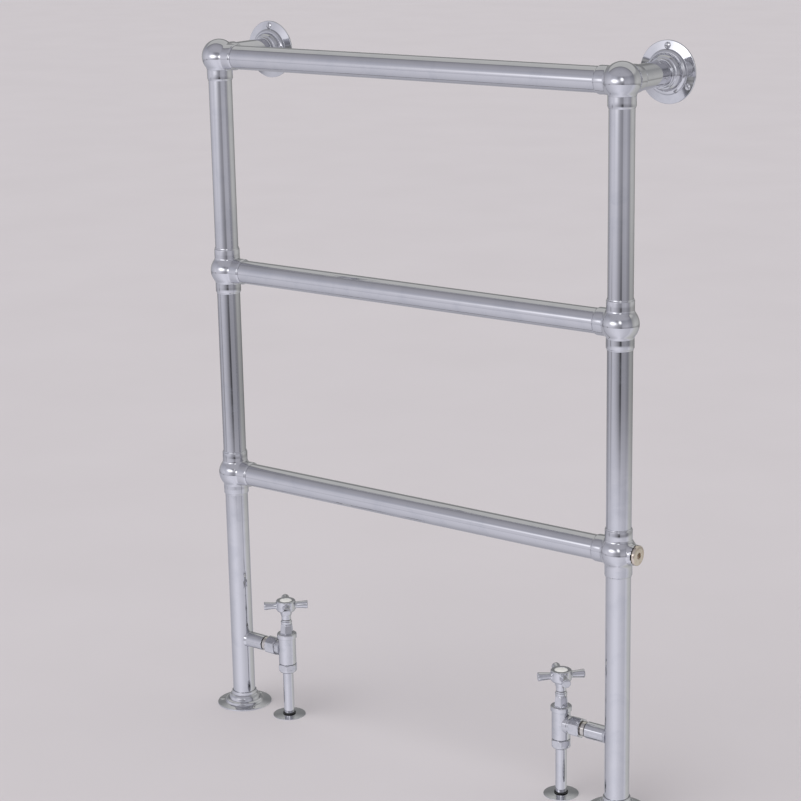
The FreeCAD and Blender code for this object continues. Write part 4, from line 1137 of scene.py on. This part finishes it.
handle_chrome = plated("handle_chrome", (0.65, 0.65, 0.67), (0.58, 0.59, 0.61), smeared=0.16,
                       smear_scale=130.0, peel_scale=180.0, peel_height=6.0e-6)
ceramic = ceramic_material()
arm_angles = {"left": 41.5, "right": 46.0}
for side in side_sign:
    low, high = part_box(side + "_crosshead_handle")
    neck, hub_top = low.z, high.z
    hub_bottom = hub_top - hub_height
    on_axis = Vector((valve_centre[side].x, uprights_y, 0))
    hub = turned(side + "_handle_hub", [
        (0.0, neck + 3.2 * mm), (4.1 * mm, neck + 3.2 * mm, 0.0), (4.1 * mm, neck, 0.3 * mm),
        (6.8 * mm, neck, 0.4 * mm), (6.8 * mm, neck + 4.6 * mm, 2.5 * mm),
        (9.4 * mm, hub_bottom - 0.4 * mm, 2.0 * mm), (12.6 * mm, hub_bottom + 0.8 * mm, 2.0 * mm),
        (hub_r, hub_bottom + 3.0 * mm, 1.5 * mm), (hub_r, hub_top, 1.3 * mm),
        (button_r + 0.05 * mm, hub_top, 0.25 * mm),
        (button_r + 0.05 * mm, hub_top - button_depth, 0.1 * mm),
        (0.0, hub_top - button_depth)], handle_chrome, 128)
    arms = grown("arms", set_around, {"Count": 4, "Circle Radius": 0.0, "Material": handle_chrome},
                 arm("arm", handle_reach))
    move(arms, Vector((0, 0, hub_top - arm_drop)))
    handle = joined(side + "_crosshead", [hub, arms])
    move(handle, on_axis, Z_AXIS, math.radians(arm_angles[side]))
    settle(handle, side + "_handle", "polished_chrome", side + "_crosshead_handle")

    button = turned(side + "_button_disc", [
        (0.0, hub_top - button_depth + 0.05 * mm),
        (button_r, hub_top - button_depth + 0.05 * mm, 0.2 * mm),
        (button_r, hub_top - 0.5 * mm, 0.35 * mm), (button_r * 0.6, hub_top - 0.16 * mm, 4 * mm),
        (button_r * 0.25, hub_top - 0.02 * mm, 3 * mm), (0.0, hub_top)], ceramic, 96)
    settle(move(button, on_axis), side + "_handle", "white_ceramic", side + "_ceramic_button")


# ------------------------------------------------------------------ working parts inside
# Machined brass spindles, plugs, screws, olives and blanks, rubber seat washers and white
# packing: hidden when the valve is whole, and kept at their exact shapes.
def machined(name, bright, dull, metallic, clean, worn):
    """Turned stock: fine lathe rings around Z and a little staining."""
    material, tree, shader, place = new_material(name)
    stain = add(tree, "ShaderNodeTexNoise", {"Vector": place, "Scale": 180.0, "Detail": 4.0})
    tree.links.new(blend_colours(tree, stain.outputs["Fac"], bright, dull), shader.inputs["Base Color"])
    rings = add(tree, "ShaderNodeTexWave", {"Vector": place, "Scale": 900.0, "Distortion": 0.4},
                bands_direction="Z")
    grained(tree, shader, stain, (clean, worn), rings, 0.4, 0.01 * mm)
    shader.inputs["Metallic"].default_value = metallic
    return material


brass = machined("bare_brass", (0.80, 0.60, 0.27), (0.66, 0.47, 0.20), 1.0, 0.16, 0.34)
packing = machined("white_packing", (0.82, 0.82, 0.79), (0.74, 0.74, 0.70), 0.0, 0.45, 0.6)
slot_materials = {"bare_brass": brass, "white_packing": packing, "black_rubber": rubber,
                  "polished_chrome": cast_chrome, "polished_nickel": nickel, "white_ceramic": ceramic}
slot_of = {entry["node"]: entry["material_slot"] for entry in frame["record"]["subparts"]}
for node, cad_piece in frame["nodes"].items():
    for slot_at in cad_piece.material_slots:
        slot_at.material = slot_materials[slot_of[node]]
